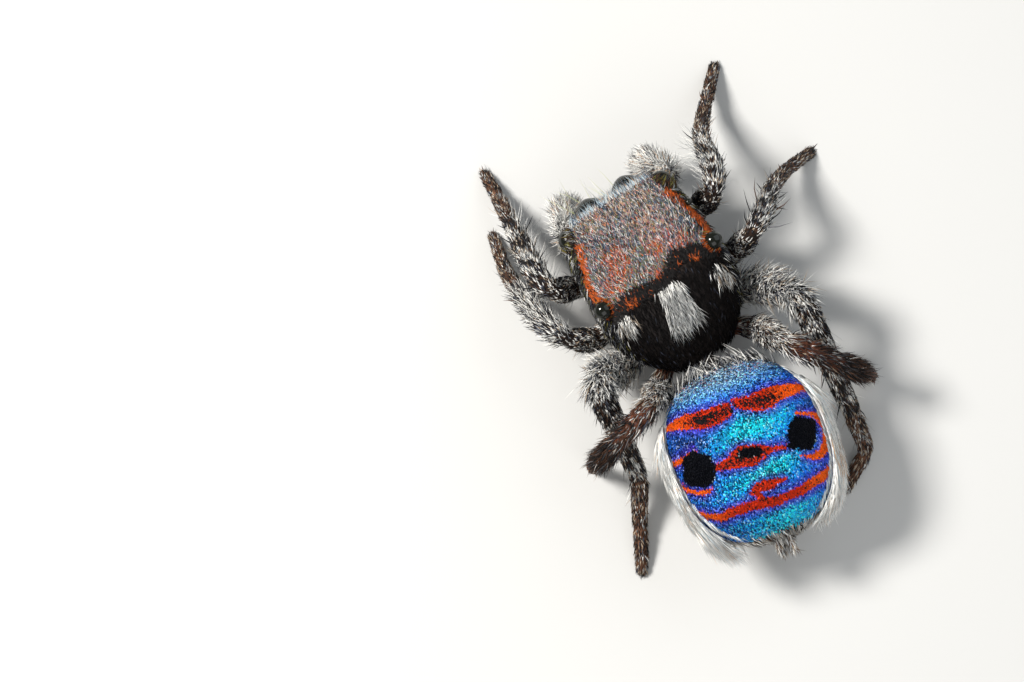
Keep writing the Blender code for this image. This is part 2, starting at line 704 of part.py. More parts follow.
def flatten(piece):
    """Cuts a piece at the floor and closes the cut."""
    work = bmesh.new()
    work.from_mesh(piece.data)
    found = bmesh.ops.bisect_plane(
        work,
        geom=work.verts[:] + work.edges[:] + work.faces[:],
        plane_co=(0, 0, 0),
        plane_no=(0, 0, -1),
        clear_outer=True,
    )
    rim = [g for g in found["geom_cut"] if isinstance(g, bmesh.types.BMEdge)]
    bmesh.ops.holes_fill(work, edges=rim)
    bmesh.ops.triangulate(work, faces=work.faces)
    bmesh.ops.recalc_face_normals(work, faces=work.faces)
    work.to_mesh(piece.data)
    work.free()


# Finish


def material(kind):
    """The plain finish of a kind of piece."""
    made = bpy.data.materials.new(kind)
    made.use_nodes = True
    shader = made.node_tree.nodes["Principled BSDF"]
    shader.inputs["Base Color"].default_value = (*COLOURS[kind], 1)
    shader.inputs["Roughness"].default_value = ROUGHNESS[kind]
    return made


def finish(pieces, kind, shift, parent):
    """Sets pieces over the origin in metres, with their own material, under the spider's empty."""
    for piece in pieces:
        piece.data.transform(shift)
        piece.data.materials.clear()
        piece.data.materials.append(material(kind))
        piece.data.shade_smooth()
        piece.data.set_sharp_from_angle(angle=math.radians(40))
        piece.parent = parent


def main():
    """Builds the spider."""
    for old in list(bpy.data.objects):
        bpy.data.objects.remove(old)
    kinds = {
        "shell": [build_shell()],
        "eye": build_eyes(),
        "skin": [build_breast(), *build_jaws(), build_spinnerets(), build_waist()],
        "feeler": build_feelers(),
        "scales": [build_abdomen()],
        "fan": build_fan(),
        "leg": build_legs(),
    }
    corners = [np.array(piece.bound_box) for pieces in kinds.values() for piece in pieces]
    low, high = np.concatenate(corners).min(axis=0), np.concatenate(corners).max(axis=0)
    shift = np.eye(4) * METRES
    shift[3, 3] = 1.0
    shift[:2, 3] = -0.5 * METRES * (low + high)[:2]
    spider = bpy.data.objects.new("spider", None)
    bpy.context.scene.collection.objects.link(spider)
    for kind, pieces in kinds.items():
        finish(pieces, kind, [tuple(row) for row in shift], spider)


main()
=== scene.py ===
"""The looks of a male peacock spider at life size: skin, coat, eyes, claws and a plain studio.

Shapes are worked out in millimetres in the body's own directions (forward, right, up) from the
waist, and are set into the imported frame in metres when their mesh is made.
"""

import logging
import math
from collections.abc import Callable
from dataclasses import dataclass, field
from enum import Enum

import bpy
import numpy as np
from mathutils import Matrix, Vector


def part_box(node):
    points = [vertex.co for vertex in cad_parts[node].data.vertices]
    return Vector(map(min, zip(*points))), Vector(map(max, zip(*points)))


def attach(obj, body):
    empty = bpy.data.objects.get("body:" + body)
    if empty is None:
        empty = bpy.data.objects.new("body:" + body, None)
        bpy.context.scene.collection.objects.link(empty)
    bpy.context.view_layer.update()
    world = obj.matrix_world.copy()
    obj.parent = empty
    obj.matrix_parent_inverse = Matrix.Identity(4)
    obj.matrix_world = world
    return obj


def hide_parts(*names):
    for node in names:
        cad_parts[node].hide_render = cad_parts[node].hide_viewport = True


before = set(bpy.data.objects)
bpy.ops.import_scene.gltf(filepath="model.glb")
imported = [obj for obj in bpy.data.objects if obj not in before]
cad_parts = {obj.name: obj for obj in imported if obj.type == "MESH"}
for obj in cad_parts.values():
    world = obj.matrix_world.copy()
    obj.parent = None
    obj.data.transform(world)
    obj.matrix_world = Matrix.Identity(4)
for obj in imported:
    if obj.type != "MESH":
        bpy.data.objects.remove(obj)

LOG = logging.getLogger("peacock_spider")
METRES = 0.001  # metres in a millimetre
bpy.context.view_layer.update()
PATCH = 0.003  # side of a hair's own square on the unwrap
SOLE = 0.000002  # least height of a piece over the floor, in metres
UNEVEN = 0.4  # share by which the lean of hairs changes
MIDDLE = 0.45  # share of a hair's length before its middle point
SWAY = 0.06  # sideways drift of hair tips, as a share of the length
UP = np.array([0.0, 0.0, 1.0])  # upwards, in every frame
Array = np.ndarray
Marking = Callable[[Array, np.random.Generator], Array]
Field = Callable[[Array, Array], Array]


class Side(Enum):
    """A side of the body, with the sign of its direction."""

    LEFT = -1
    RIGHT = 1

    @property
    def word(self) -> str:
        """The side's name."""
        return self.name.lower()

    @property
    def mirror(self) -> tuple[int, int, int]:
        """Signs that set a place of the right side on this side."""
        return (1, self.value, 1)


class Leg(Enum):
    """A pair of legs, counted from the head."""

    FIRST = 1
    SECOND = 2
    THIRD = 3
    FOURTH = 4


# Arrays and curves


def curve(at: Array, stations: tuple, values: tuple) -> Array:
    """Reads a smooth curve through values at stations.

    Each stretch is the cubic h00 y0 + h10 h m0 + h01 y1 + h11 h m1, whose end slopes m are the
    local mean slopes.

    Args:
        at: Where the curve is read.
        stations: Places of the values, rising.
        values: Values at the stations.

    Returns:
        The curve's values.
    """
    x, y = np.asarray(stations, float), np.asarray(values, float)
    at = np.atleast_1d(np.asarray(at, float))
    slopes = np.gradient(y, x)
    i = np.clip(np.searchsorted(x, at) - 1, 0, len(x) - 2)
    h = x[i + 1] - x[i]
    t = np.clip((at - x[i]) / h, 0, 1)
    start = (1 + 2 * t) * (1 - t) ** 2 * y[i] + t * (1 - t) ** 2 * h * slopes[i]
    return start + t**2 * (3 - 2 * t) * y[i + 1] + t**2 * (t - 1) * h * slopes[i + 1]


def bulge(angle: Array, power: float | Array) -> tuple[Array, Array]:
    """Gives the cosine and sine of an angle pushed to a box's corners: |c|^(2/p) and |s|^(2/p), signed."""
    c, s = np.cos(angle), np.sin(angle)
    return np.sign(c) * np.abs(c) ** (2 / power), np.sign(s) * np.abs(s) ** (2 / power)


def unit(v: Array) -> Array:
    """Scales vectors to a length of one."""
    return v / np.maximum(np.linalg.norm(v, axis=-1, keepdims=True), 1e-12)


def smooth(x: Array, low: float, high: float) -> Array:
    """Rises from 0 at low to 1 at high as 3t^2 - 2t^3."""
    t = np.clip((x - low) / (high - low), 0, 1)
    return t * t * (3 - 2 * t)


def hump(x: Array, middle: float | Array, half: float | Array, soft: float) -> Array:
    """Is 1 within half of a middle, and falls to 0 over a soft margin outside it."""
    return 1 - smooth(np.abs(x - middle) - half, -0.5 * soft, 0.5 * soft)


def bell(x: Array, middle: float, width: float) -> Array:
    """Is 1 at a middle and falls off to both sides as exp(-u^2), with u counted in widths."""
    return np.exp(-(((x - middle) / width) ** 2))


def blot(place: Array, centre: tuple[float, float], widths: tuple[float, float]) -> Array:
    """Is 1 at a centre on the plan and falls off as a bell along both of its axes."""
    return bell(place[..., 0], centre[0], widths[0]) * bell(place[..., 1], centre[1], widths[1])


def ripple(points: Array, size: float, seed: int) -> Array:
    """Adds five waves of different headings into an even blotchy field from about -1 to 1.

    Args:
        points: Places, in mm.
        size: Rough size of a blotch.
        seed: Number that settles the headings.

    Returns:
        The field at each place.
    """
    draw = np.random.default_rng(seed)
    headings = unit(draw.normal(size=(5, 3))) * (2 * math.pi / size) * draw.uniform(0.6, 1.4, (5, 1))
    return np.sin(points @ headings.T + draw.uniform(0, 6.28, 5)).mean(axis=-1) * 1.6


def mix(a: Array, b: Array, share: Array) -> Array:
    """Blends colour a into colour b by a share."""
    return a * (1 - share[..., None]) + b * share[..., None]


def palette(count: int, rng: np.random.Generator, *shares: tuple[Array, float | Array]) -> Array:
    """Draws a colour for each of count hairs.

    Args:
        count: How many hairs.
        rng: Source of the draws.
        shares: Colours to choose from, each with its weight, one for all hairs or one a hair.

    Returns:
        One colour a hair, with a small change of brightness.
    """
    weights = np.stack([np.broadcast_to(np.maximum(weight, 0.0), count) for _, weight in shares], axis=-1)
    steps = np.cumsum(weights, axis=1) / weights.sum(axis=1, keepdims=True)
    pick = (rng.random((count, 1)) > steps).sum(axis=1)
    return np.array([colour for colour, _ in shares])[pick] * rng.uniform(0.72, 1.22, (count, 1))


def tinted(*shares: tuple[Array, float]) -> Marking:
    """Gives a marking that draws colours by fixed weights, whatever the place."""
    return lambda points, rng: palette(len(points), rng, *shares)


def flat(colour: Array) -> Marking:
    """Gives a marking of one colour."""
    return lambda points, rng: np.broadcast_to(colour, points.shape).copy()


# Body directions


def turned(points: Array, degrees: float) -> Array:
    """Turns points about the vertical through the waist, left for a positive angle."""
    a = math.radians(degrees)
    spin = np.array([[math.cos(a), math.sin(a), 0], [-math.sin(a), math.cos(a), 0], [0, 0, 1]])
    return points @ spin.T


@dataclass(frozen=True)
class HeadPose:
    """How the head is turned and set over the waist, in degrees and mm."""

    turn: float = 5.5
    offset: float = 0.03

    def out(self, points: Array) -> Array:
        """Sets points of the head's own frame into the body's directions."""
        return turned(np.asarray(points, float), self.turn) + (0, self.offset, 0)

    def into(self, points: Array) -> Array:
        """Reads points of the body's directions in the head's own frame."""
        return turned(np.asarray(points, float) - (0, self.offset, 0), -self.turn)

    def heading(self, ways: Array) -> Array:
        """Turns directions of the head's own frame into the body's."""
        return turned(np.asarray(ways, float), self.turn)


HEAD = HeadPose()


@dataclass(frozen=True)
class EyeKind:
    """Centre, radius and axis of one kind of eye on the right, in the head's own frame."""

    centre: tuple[float, float, float]
    radius: float
    axis: tuple[float, float, float]


EYES = {
    "front_middle": EyeKind((1.90, 0.240, 1.210), 0.210, (1, 0, 0.05)),
    "front_side": EyeKind((1.80, 0.610, 1.270), 0.125, (1, 0.35, 0.1)),
    "rear_middle": EyeKind((1.42, 0.725, 1.400), 0.040, (0.1, 1, 0.3)),
    "rear": EyeKind((0.90, 0.720, 1.400), 0.105, (-0.15, 1, 0.35)),
}


def eye_centre(kind: str, side: Side) -> Array:
    """Gives an eye's centre in the body's directions."""
    return HEAD.out(np.array(EYES[kind].centre) * side.mirror)


def from_eye(points: Array, kind: str, side: Side) -> Array:
    """Gives how far places are from an eye's centre."""
    return np.linalg.norm(points - eye_centre(kind, side), axis=-1)


@dataclass(frozen=True)
class Placing:
    """Where the body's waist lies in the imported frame, in metres."""

    shift: Array

    @classmethod
    def from_frame(cls) -> "Placing":
        """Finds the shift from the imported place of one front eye."""
        low, high = (np.array(c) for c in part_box("eye_front_middle_left"))
        forward, right, up = eye_centre("front_middle", Side.LEFT) * METRES
        return cls(0.5 * (low + high) - (-right, -forward, up))

    def world(self, points: Array) -> Array:
        """Turns forward, right, up in mm into X, Y, Z in metres."""
        points = np.asarray(points, float) * METRES
        return np.stack([-points[..., 1], -points[..., 0], points[..., 2]], axis=-1) + self.shift


PLACING = Placing.from_frame()


# Sheets: closed surfaces on a grid


@dataclass
class Sheet:
    """A closed surface on a grid: rows run along it and columns run round it.

    Attributes:
        name: Plain name of the surface.
        points: Grid of places, rows by columns by 3, in mm.
        cell: Number of its square on the unwrap of the skin.
        normals: Outward directions at the places.
        ways: Directions along the rows.
        flip: Whether the grid's faces look inwards as they stand.
    """

    name: str
    points: Array
    cell: int = 0
    normals: Array = field(init=False)
    ways: Array = field(init=False)
    flip: bool = field(init=False)

    def __post_init__(self) -> None:
        """Works out the directions: the normal is the cross product of the two grid slopes."""
        self.settle()

    def settle(self) -> None:
        """Works the normals and row directions out again from the places."""
        ahead, behind = np.roll(self.points, -1, axis=1), np.roll(self.points, 1, axis=1)
        along = np.gradient(self.points, axis=0)
        normals = unit(np.cross(along, ahead - behind))
        centre = self.points.mean(axis=1, keepdims=True)
        middle = slice(len(self.points) // 4, 3 * len(self.points) // 4)
        outward = ((self.points - centre) * normals)[middle].sum()
        self.flip = bool(outward < 0)
        self.normals = -normals if self.flip else normals
        self.ways = unit(along)

    def swell(self, amount: float | Array) -> "Sheet":
        """Moves the surface along its normals by an amount in mm, inwards when negative."""
        amount = np.broadcast_to(np.asarray(amount, float), self.points.shape[:2])
        self.points = self.points + amount[..., None] * self.normals
        self.settle()
        return self

    def read(self, grid: Array, rows: Array, columns: Array) -> Array:
        """Reads a grid between its places: the four nearest, weighted by nearness."""
        count, sides = grid.shape[:2]
        r0 = np.clip(rows.astype(int), 0, count - 2)
        c0 = columns.astype(int) % sides
        fr, fc = (rows - r0)[:, None], (columns - np.floor(columns))[:, None]
        c1 = (c0 + 1) % sides
        top = grid[r0, c0] * (1 - fc) + grid[r0, c1] * fc
        return top * (1 - fr) + (grid[r0 + 1, c0] * (1 - fc) + grid[r0 + 1, c1] * fc) * fr

    def scatter(self, count: int, where: Field, rng: np.random.Generator) -> tuple[Array, Array]:
        """Picks places on the surface, as many for each area as a density says.

        Args:
            count: How many places.
            where: Density from 0 to 1, from places and normals.
            rng: Source of the draws.

        Returns:
            Row and column of each place, with fractions.
        """
        a, b = self.points[:-1], self.points[1:]
        area = np.linalg.norm(np.cross(b - a, np.roll(a, -1, axis=1) - a), axis=-1)
        centre = 0.25 * (a + b + np.roll(a, -1, axis=1) + np.roll(b, -1, axis=1))
        weight = area * where(centre, self.normals[:-1])
        steps = np.cumsum(weight.ravel())
        draws = (np.arange(count) + rng.random(count)) / count * steps[-1]
        pick = np.minimum(np.searchsorted(steps, draws), weight.size - 1)
        rows, columns = np.unravel_index(pick, weight.shape)
        order = rng.permutation(count)
        return (rows + rng.random(count))[order], (columns + rng.random(count))[order]

    def unwrap(self, rows: Array, columns: Array) -> Array:
        """Gives places on the skin's unwrap: each sheet fills its own square of a six by six board."""
        board, edge = 6, 0.006
        corner = np.array([self.cell % board, self.cell // board]) / board
        share = np.stack([columns / self.points.shape[1] % 1, rows / (self.points.shape[0] - 1)], axis=-1)
        return corner + edge + share * (1 / board - 2 * edge)

    def faces(self) -> Array:
        """Gives the quads between rows, and two flat strips that close the ends."""
        count, sides = self.points.shape[:2]
        index = np.arange(count * sides).reshape(count, sides)
        turn = np.roll(index, -1, axis=1)
        quads = np.stack([index[:-1], turn[:-1], turn[1:], index[1:]], axis=-1).reshape(-1, 4)
        j = np.arange(sides // 2 - 1)
        near = np.stack([j, sides - 1 - j, sides - 2 - j, j + 1], axis=-1)
        far = (count - 1) * sides + near[:, ::-1]
        faces = np.concatenate([quads, near, far])
        return faces if self.flip else faces[:, ::-1]


def joined(sheets: list[Sheet]) -> tuple[Array, Array]:
    """Gives the places and faces of several surfaces as one mesh."""
    points = [sheet.points.reshape(-1, 3) for sheet in sheets]
    starts = np.cumsum([0] + [len(places) for places in points])
    faces = [sheet.faces() + start for sheet, start in zip(sheets, starts)]
    return np.concatenate(points), np.concatenate(faces)


def add_mesh(
    name: str, points: Array, faces: Array, tints: Array | None = None, lowest: float = SOLE
) -> bpy.types.Object:
    """Makes a mesh object from arrays, at the origin.

    Args:
        name: Name of the object.
        points: Places in mm, in the body's directions.
        faces: Corner numbers, all faces with as many corners.
        tints: Colour at each place, kept as the attribute tint.
        lowest: Height in metres that lower places are lifted to.

    Returns:
        The new object, linked to the scene.
    """
    corners = faces.shape[1]
    mesh = bpy.data.meshes.new(name)
    mesh.vertices.add(len(points))
    places = PLACING.world(points)
    places[:, 2] = np.maximum(places[:, 2], lowest)
    mesh.vertices.foreach_set("co", places.astype(np.float32).ravel())
    mesh.loops.add(faces.size)
    mesh.loops.foreach_set("vertex_index", faces.astype(np.int32).ravel())
    mesh.polygons.add(len(faces))
    mesh.polygons.foreach_set("loop_start", np.arange(0, faces.size, corners, dtype=np.int32))
    mesh.update(calc_edges=True)
    mesh.shade_smooth()
    if tints is not None:
        layer = mesh.attributes.new("tint", "FLOAT_COLOR", "POINT")
        rgba = np.concatenate([tints, np.ones((len(tints), 1))], axis=1)
        layer.data.foreach_set("color", rgba.astype(np.float32).ravel())
    piece = bpy.data.objects.new(name, mesh)
    bpy.context.scene.collection.objects.link(piece)
    return piece


# Routes and tubes


def rounded(joints: list, reach: float) -> Array:
    """Joins points with straight stretches, each bend a quadratic curve that starts reach before it."""
    joints = [np.asarray(j, float) for j in joints]
    route = [joints[:1]]
    t = np.linspace(0, 1, 13)[:, None]
    for before, joint, after in zip(joints, joints[1:], joints[2:]):
        back, on = before - joint, after - joint
        start = joint + back * min(reach / np.linalg.norm(back), 0.48)
        end = joint + on * min(reach / np.linalg.norm(on), 0.48)
        route.append((1 - t) ** 2 * start + 2 * t * (1 - t) * joint + t**2 * end)
    route.append(joints[-1:])
    return np.concatenate([np.asarray(r) for r in route])


@dataclass
class Route:
    """A line through the body that is read by its length from the start."""

    points: Array
    along: Array = field(init=False)

    def __post_init__(self) -> None:
        """Sums the lengths of the stretches."""
        steps = np.linalg.norm(np.diff(self.points, axis=0), axis=1)
        self.along = np.concatenate([[0], np.cumsum(steps)])

    def at(self, lengths: Array) -> Array:
        """Gives the places at lengths along the line."""
        return np.stack([np.interp(lengths, self.along, self.points[:, k]) for k in range(3)], axis=-1)

    def heading(self, lengths: Array, step: float = 0.02) -> Array:
        """Gives the unit directions at lengths along the line."""
        ahead = self.at(np.minimum(lengths + step, self.along[-1]))
        return unit(ahead - self.at(np.maximum(lengths - step, 0)))

    def nearest(self, point: Array) -> float:
        """Gives the length at which the line passes nearest to a point."""
        lengths = np.linspace(0, self.along[-1], 600)
        return float(lengths[np.argmin(np.linalg.norm(self.at(lengths) - point, axis=-1))])

    def tube(
        self, name: str, widths: Callable[[Array], Array], sides: int = 24, spacing: float = 0.02
    ) -> Sheet:
        """Carries a circle along the line: p(s, a) = c(s) + r(s) (cos a side + sin a up).

        Args:
            name: Name of the surface.
            widths: Radius at lengths along the line.
            sides: Number of columns.
            spacing: Distance between rows.

        Returns:
            The tube, with domed ends.
        """
        total = self.along[-1]
        lengths = np.linspace(0, total, max(4, round(total / spacing) + 1))
        centres, ways, radius = self.at(lengths), self.heading(lengths), widths(lengths)
        dome = np.linspace(0.15, 0.5 * math.pi, 5)[:-1]
        front = ways[-1] * (radius[-1] * np.cos(dome[::-1]))[:, None]
        back = -ways[0] * (radius[0] * np.cos(dome))[:, None]
        centres = np.concatenate([centres[0] + back, centres, centres[-1] + front])
        radius = np.concatenate([radius[0] * np.sin(dome), radius, radius[-1] * np.sin(dome[::-1])])
        ways = np.pad(ways, ((len(dome), len(dome)), (0, 0)), mode="edge")
        side = unit(np.cross(ways, UP))
        up = np.cross(side, ways)
        a = np.linspace(0, 2 * math.pi, sides, endpoint=False)[None, :, None]
        ring = np.cos(a) * side[:, None] + np.sin(a) * up[:, None]
        return Sheet(name, centres[:, None] + radius[:, None, None] * ring)

    def cone(self, name: str, start: float, end: float, sides: int, spacing: float) -> Sheet:
        """Builds a tube whose radius runs evenly from start to end."""
        return self.tube(name, lambda s: start + (end - start) * s / self.along[-1], sides, spacing)


# Hairs, bristles and scales


@dataclass(frozen=True)
class Strand:
    """The shape of one kind of hair, bristle or scale.

    Attributes:
        length: Length in mm.
        width: Width near the root.
        thick: Thickness as a share of the width.
        lean: Angle off the skin at the root, in degrees.
        bend: Angle off the skin at the tip, in degrees.
        spread: Random turn about the normal, in degrees.
        vary: Random change of length, as a share.
        bands: Rings between root and tip.
        sides: Sides of a ring.
        sunk: How deep the root is sunk.
        dark: Brightness at the root as a share of that at the tip.
    """

    length: float
    width: float
    thick: float = 1.0
    lean: float = 20.0
    bend: float = 6.0
    spread: float = 10.0
    vary: float = 0.2
    bands: int = 2
    sides: int = 3
    sunk: float = 0.012
    dark: float = 0.75


@dataclass
class Coat:
    """One mesh of many strands.

    Each strand's line is the quadratic curve from its sunk root over a middle point to its tip,
    and its rings are carried along it: p = c(t) + w(t) (cos a side + sin a up).
    """

    name: str
    slot: str
    points: list = field(default_factory=list)
    faces: list = field(default_factory=list)
    patches: list = field(default_factory=list)
    tints: list = field(default_factory=list)
    total: int = 0

    def grow(
        self,
        sheet: Sheet,
        strand: Strand,
        count: int,
        where: Field,
        lie: Field,
        marking: Marking,
        rng: np.random.Generator,
    ) -> None:
        """Grows strands on a sheet.

        Args:
            sheet: Surface that they grow from.
            strand: Their shape.
            count: How many.
            where: Density over the surface.
            lie: Direction that they lie in.
            marking: Colour of each, from its root.
            rng: Source of the draws.
        """
        rows, columns = sheet.scatter(count, where, rng)
        root = sheet.read(sheet.points, rows, columns)
        normal = unit(sheet.read(sheet.normals, rows, columns))
        way = lie(root, normal)
        way = unit(way - normal * (way * normal).sum(axis=1, keepdims=True))
        across = np.cross(way, normal)
        turn = np.radians(rng.normal(0, strand.spread, (count, 1)))
        way = np.cos(turn) * way + np.sin(turn) * across
        across = unit(np.cross(way, normal))
        length = strand.length * np.exp(rng.normal(0, strand.vary, (count, 1)))
        lean = np.radians(strand.lean * rng.uniform(1 - UNEVEN, 1 + UNEVEN, (count, 1)))
        bend = np.radians(strand.bend + strand.lean * rng.uniform(-UNEVEN, UNEVEN, (count, 1)))
        middle = root + MIDDLE * length * (np.cos(lean) * way + np.sin(lean) * normal)
        tip = middle + (1 - MIDDLE) * length * (np.cos(bend) * way + np.sin(bend) * normal)
        tip += across * length * rng.normal(0, SWAY, (count, 1))
        lines = np.stack([root - strand.sunk * normal, middle, tip])
        self.add(lines, across, strand, sheet.unwrap(rows, columns), marking(root, rng))

    def cover(self, sheet: Sheet, rows: list[tuple], rng: np.random.Generator) -> None:
        """Grows several kinds of strand on a sheet, each row with grow's arguments after the sheet."""
        for row in rows:
            self.grow(sheet, *row, rng)

    def add(self, lines: Array, across: Array, strand: Strand, patch: Array, tint: Array) -> None:
        """Adds the meshes of strands whose lines are known.

        Args:
            lines: Sunk roots, the points that pull each line, and tips.
            across: Sideways directions.
            strand: Their shape.
            patch: Places of the roots on the unwrap.
            tint: Their colours.
        """
        start, middle, tip = lines[:, :, None]
        count, k, n = len(start), strand.bands, strand.sides
        steps = (np.arange(1, k + 1) / (k + 1)) ** (1.6 if k > 1 else 1.0)
        t = steps[None, :, None]
        line = (1 - t) ** 2 * start + 2 * t * (1 - t) * middle + t**2 * tip
        slope = unit((1 - t) * (middle - start) + t * (tip - middle))
        side = across[:, None] + 0 * slope
        up = unit(np.cross(side, slope))
        taper = 0.5 * strand.width * (1 - t**2.0 if k > 1 else np.ones((1, 1, 1)))
        angle = np.linspace(0, 2 * math.pi, n, endpoint=False) + (0.5 * math.pi if n == 3 else 0.0)
        c, s = np.cos(angle)[:, None], np.sin(angle)[:, None]
        ring = c * side[:, :, None] + strand.thick * s * up[:, :, None]
        ring = line[:, :, None] + taper[..., None] * ring
        points = np.concatenate([start, ring.reshape(count, k * n, 3), tip], axis=1)
        faces, size = self.strand_faces(k, n), k * n + 2
        self.faces.append((self.total + size * np.arange(count)[:, None, None] + faces).reshape(-1, 3))
        self.points.append(points.reshape(-1, 3))
        along = np.concatenate([[0], np.repeat(steps, n), [1]])
        round_it = np.concatenate([[0.5], np.tile(np.arange(n) / n, k), [0.5]])
        spot = PATCH * (np.stack([round_it, along], axis=-1) - 0.5)
        self.patches.append((patch[:, None] + spot).reshape(-1, 2))
        shade = strand.dark + (1 - strand.dark) * along
        self.tints.append((tint[:, None] * shade[:, None]).reshape(-1, 3))
        self.total += count * size

    @staticmethod
    def strand_faces(bands: int, sides: int) -> Array:
        """Gives one strand's triangles: a fan at the root, pairs between the rings and a fan at the tip."""
        index = 1 + np.arange(bands * sides).reshape(bands, sides)
        turn = np.roll(index, -1, axis=1)
        quads = [index[:-1], turn[:-1], turn[1:], index[:-1], turn[1:], index[1:]]
        root = np.stack([0 * index[0], turn[0], index[0]], axis=-1)
        end = np.stack([0 * index[0] + bands * sides + 1, index[-1], turn[-1]], axis=-1)
        return np.concatenate([root, np.stack(quads, axis=-1).reshape(-1, 3), end])

    def build(self, finish: "Finish") -> bpy.types.Object:
        """Makes the mesh object, with its colours and its place on the unwrap."""
        faces = np.concatenate(self.faces)
        piece = add_mesh(self.name, np.concatenate(self.points), faces, np.concatenate(self.tints))
        layer = piece.data.uv_layers.new(name="OFBake")
        spots = np.clip(np.concatenate(self.patches), 0, 1)[faces.ravel()]
        layer.data.foreach_set("uv", spots.astype(np.float32).ravel())
        dress(piece, finish, self.slot)
        LOG.info("%s: %d triangles", self.name, len(faces))
        return piece


# Finishes


@dataclass(frozen=True)
class Finish:
    """How a surface takes the light, with its colour from the attribute tint.

    Attributes:
        name: Name of the material.
        roughness: Roughness of the surface.
        metallic: Share of metal-like shine, as thin scales have.
        specular: Strength of the plain shine.
        coat: Strength of a clear layer over it.
        grain: Size of the colour's fine change, in mm, or 0.
        change: How strong that change is.
        relief: Depth of the fine relief, in mm.
        colour: Colour where the surface has no tints of its own.
    """

    name: str
    roughness: float
    metallic: float = 0.0
    specular: float = 0.5
    coat: float = 0.0
    grain: float = 0.0
    change: float = 0.0
    relief: float = 0.0
    colour: tuple[float, float, float] | None = None

    def material(self) -> bpy.types.Material:
        """Makes the material, or gives the one that is there."""
        if self.name in bpy.data.materials:
            return bpy.data.materials[self.name]
        made = bpy.data.materials.new(self.name)
        made.use_nodes = True
        tree = made.node_tree
        shader = tree.nodes["Principled BSDF"]
        shader.inputs["Roughness"].default_value = self.roughness
        shader.inputs["Metallic"].default_value = self.metallic
        shader.inputs["Specular IOR Level"].default_value = self.specular
        shader.inputs["Coat Weight"].default_value = self.coat
        shader.inputs["Coat Roughness"].default_value = 0.04
        noise = self.noise(tree) if self.grain else None
        if self.colour is None:
            tree.links.new(self.tint(tree, noise), shader.inputs["Base Color"])
        else:
            shader.inputs["Base Color"].default_value = (*self.colour, 1)
        if self.relief:
            bump = tree.nodes.new("ShaderNodeBump")
            bump.inputs["Strength"].default_value = 0.8
            bump.inputs["Distance"].default_value = self.relief * METRES
            tree.links.new(noise, bump.inputs["Height"])
            tree.links.new(bump.outputs["Normal"], shader.inputs["Normal"])
        return made

    def noise(self, tree: bpy.types.NodeTree) -> bpy.types.NodeSocket:
        """Adds a noise field in the object's own coordinates and gives its output."""
        place = tree.nodes.new("ShaderNodeTexCoord")
        noise = tree.nodes.new("ShaderNodeTexNoise")
        noise.inputs["Scale"].default_value = 1 / (self.grain * METRES)
        noise.inputs["Detail"].default_value = 4
        noise.inputs["Roughness"].default_value = 0.6
        tree.links.new(place.outputs["Object"], noise.inputs["Vector"])
        return noise.outputs["Fac"]

    def tint(self, tree: bpy.types.NodeTree, noise: bpy.types.NodeSocket | None) -> bpy.types.NodeSocket:
        """Reads the piece's tints, and where there is noise, multiplies them by 1 - change to 1 + change."""
        tint = tree.nodes.new("ShaderNodeAttribute")
        tint.attribute_name = "tint"
        if noise is None:
            return tint.outputs["Color"]
        spread = tree.nodes.new("ShaderNodeMapRange")
        spread.inputs["From Min"].default_value = 0.3
        spread.inputs["From Max"].default_value = 0.7
        spread.inputs["To Min"].default_value = 1 - self.change
        spread.inputs["To Max"].default_value = 1 + self.change
        scale = tree.nodes.new("ShaderNodeVectorMath")
        scale.operation = "SCALE"
        tree.links.new(noise, spread.inputs["Value"])
        tree.links.new(tint.outputs["Color"], scale.inputs[0])
        tree.links.new(spread.outputs["Result"], scale.inputs["Scale"])
        return scale.outputs["Vector"]


SKIN = Finish("spider_skin", 0.5, specular=0.16, grain=0.03, change=0.35, relief=0.006)
HAIR = Finish("hair", 0.55, specular=0.22)
SOOT = Finish("dark_hair", 0.7, specular=0.07)
SILK = Finish("silky_fringe", 0.38, specular=0.5)
SCALE = Finish("shining_scale", 0.32, metallic=0.7, specular=0.16)
CLAW = Finish("claw_horn", 0.2, coat=0.4, colour=(0.016, 0.010, 0.007))
LENS = Finish("eye_lens", 0.06, specular=0.32, colour=(0.005, 0.006, 0.004))
FLOOR = Finish("pale_floor", 0.7, specular=0.2, colour=(0.50, 0.50, 0.49))


def dress(piece: bpy.types.Object, finish: Finish, slot: str) -> None:
    """Gives a piece its finish and lets it ride on the body."""
    piece.data.materials.append(finish.material())
    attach(piece, "root")


# Colours, as linear red, green and blue

BLACK = np.array([0.008, 0.007, 0.007])
CHITIN = np.array([0.012, 0.009, 0.008])
GREY = np.array([0.13, 0.13, 0.14])
SLATE = np.array([0.055, 0.062, 0.085])
SILVER = np.array([0.30, 0.31, 0.31])
MAROON = np.array([0.11, 0.038, 0.020])
PALE = np.array([0.42, 0.43, 0.43])
WHITE = np.array([0.82, 0.81, 0.77])
SNOW = np.array([0.94, 0.93, 0.89])
BLUEWHITE = np.array([0.55, 0.66, 0.72])
TAN = np.array([0.42, 0.33, 0.24])
PEACH = np.array([0.62, 0.40, 0.24])
RUST = np.array([0.36, 0.075, 0.018])
BROWN = np.array([0.085, 0.040, 0.022])
ORANGE = np.array([0.85, 0.13, 0.008])
EMBER = np.array([0.42, 0.080, 0.008])
RED = np.array([0.52, 0.028, 0.006])
OLIVE = np.array([0.20, 0.18, 0.035])
STEEL = np.array([0.15, 0.22, 0.31])
PINK = np.array([0.46, 0.17, 0.20])
MOSS = np.array([0.22, 0.26, 0.12])
CYAN = np.array([0.012, 0.56, 0.74])
AZURE = np.array([0.010, 0.20, 0.78])
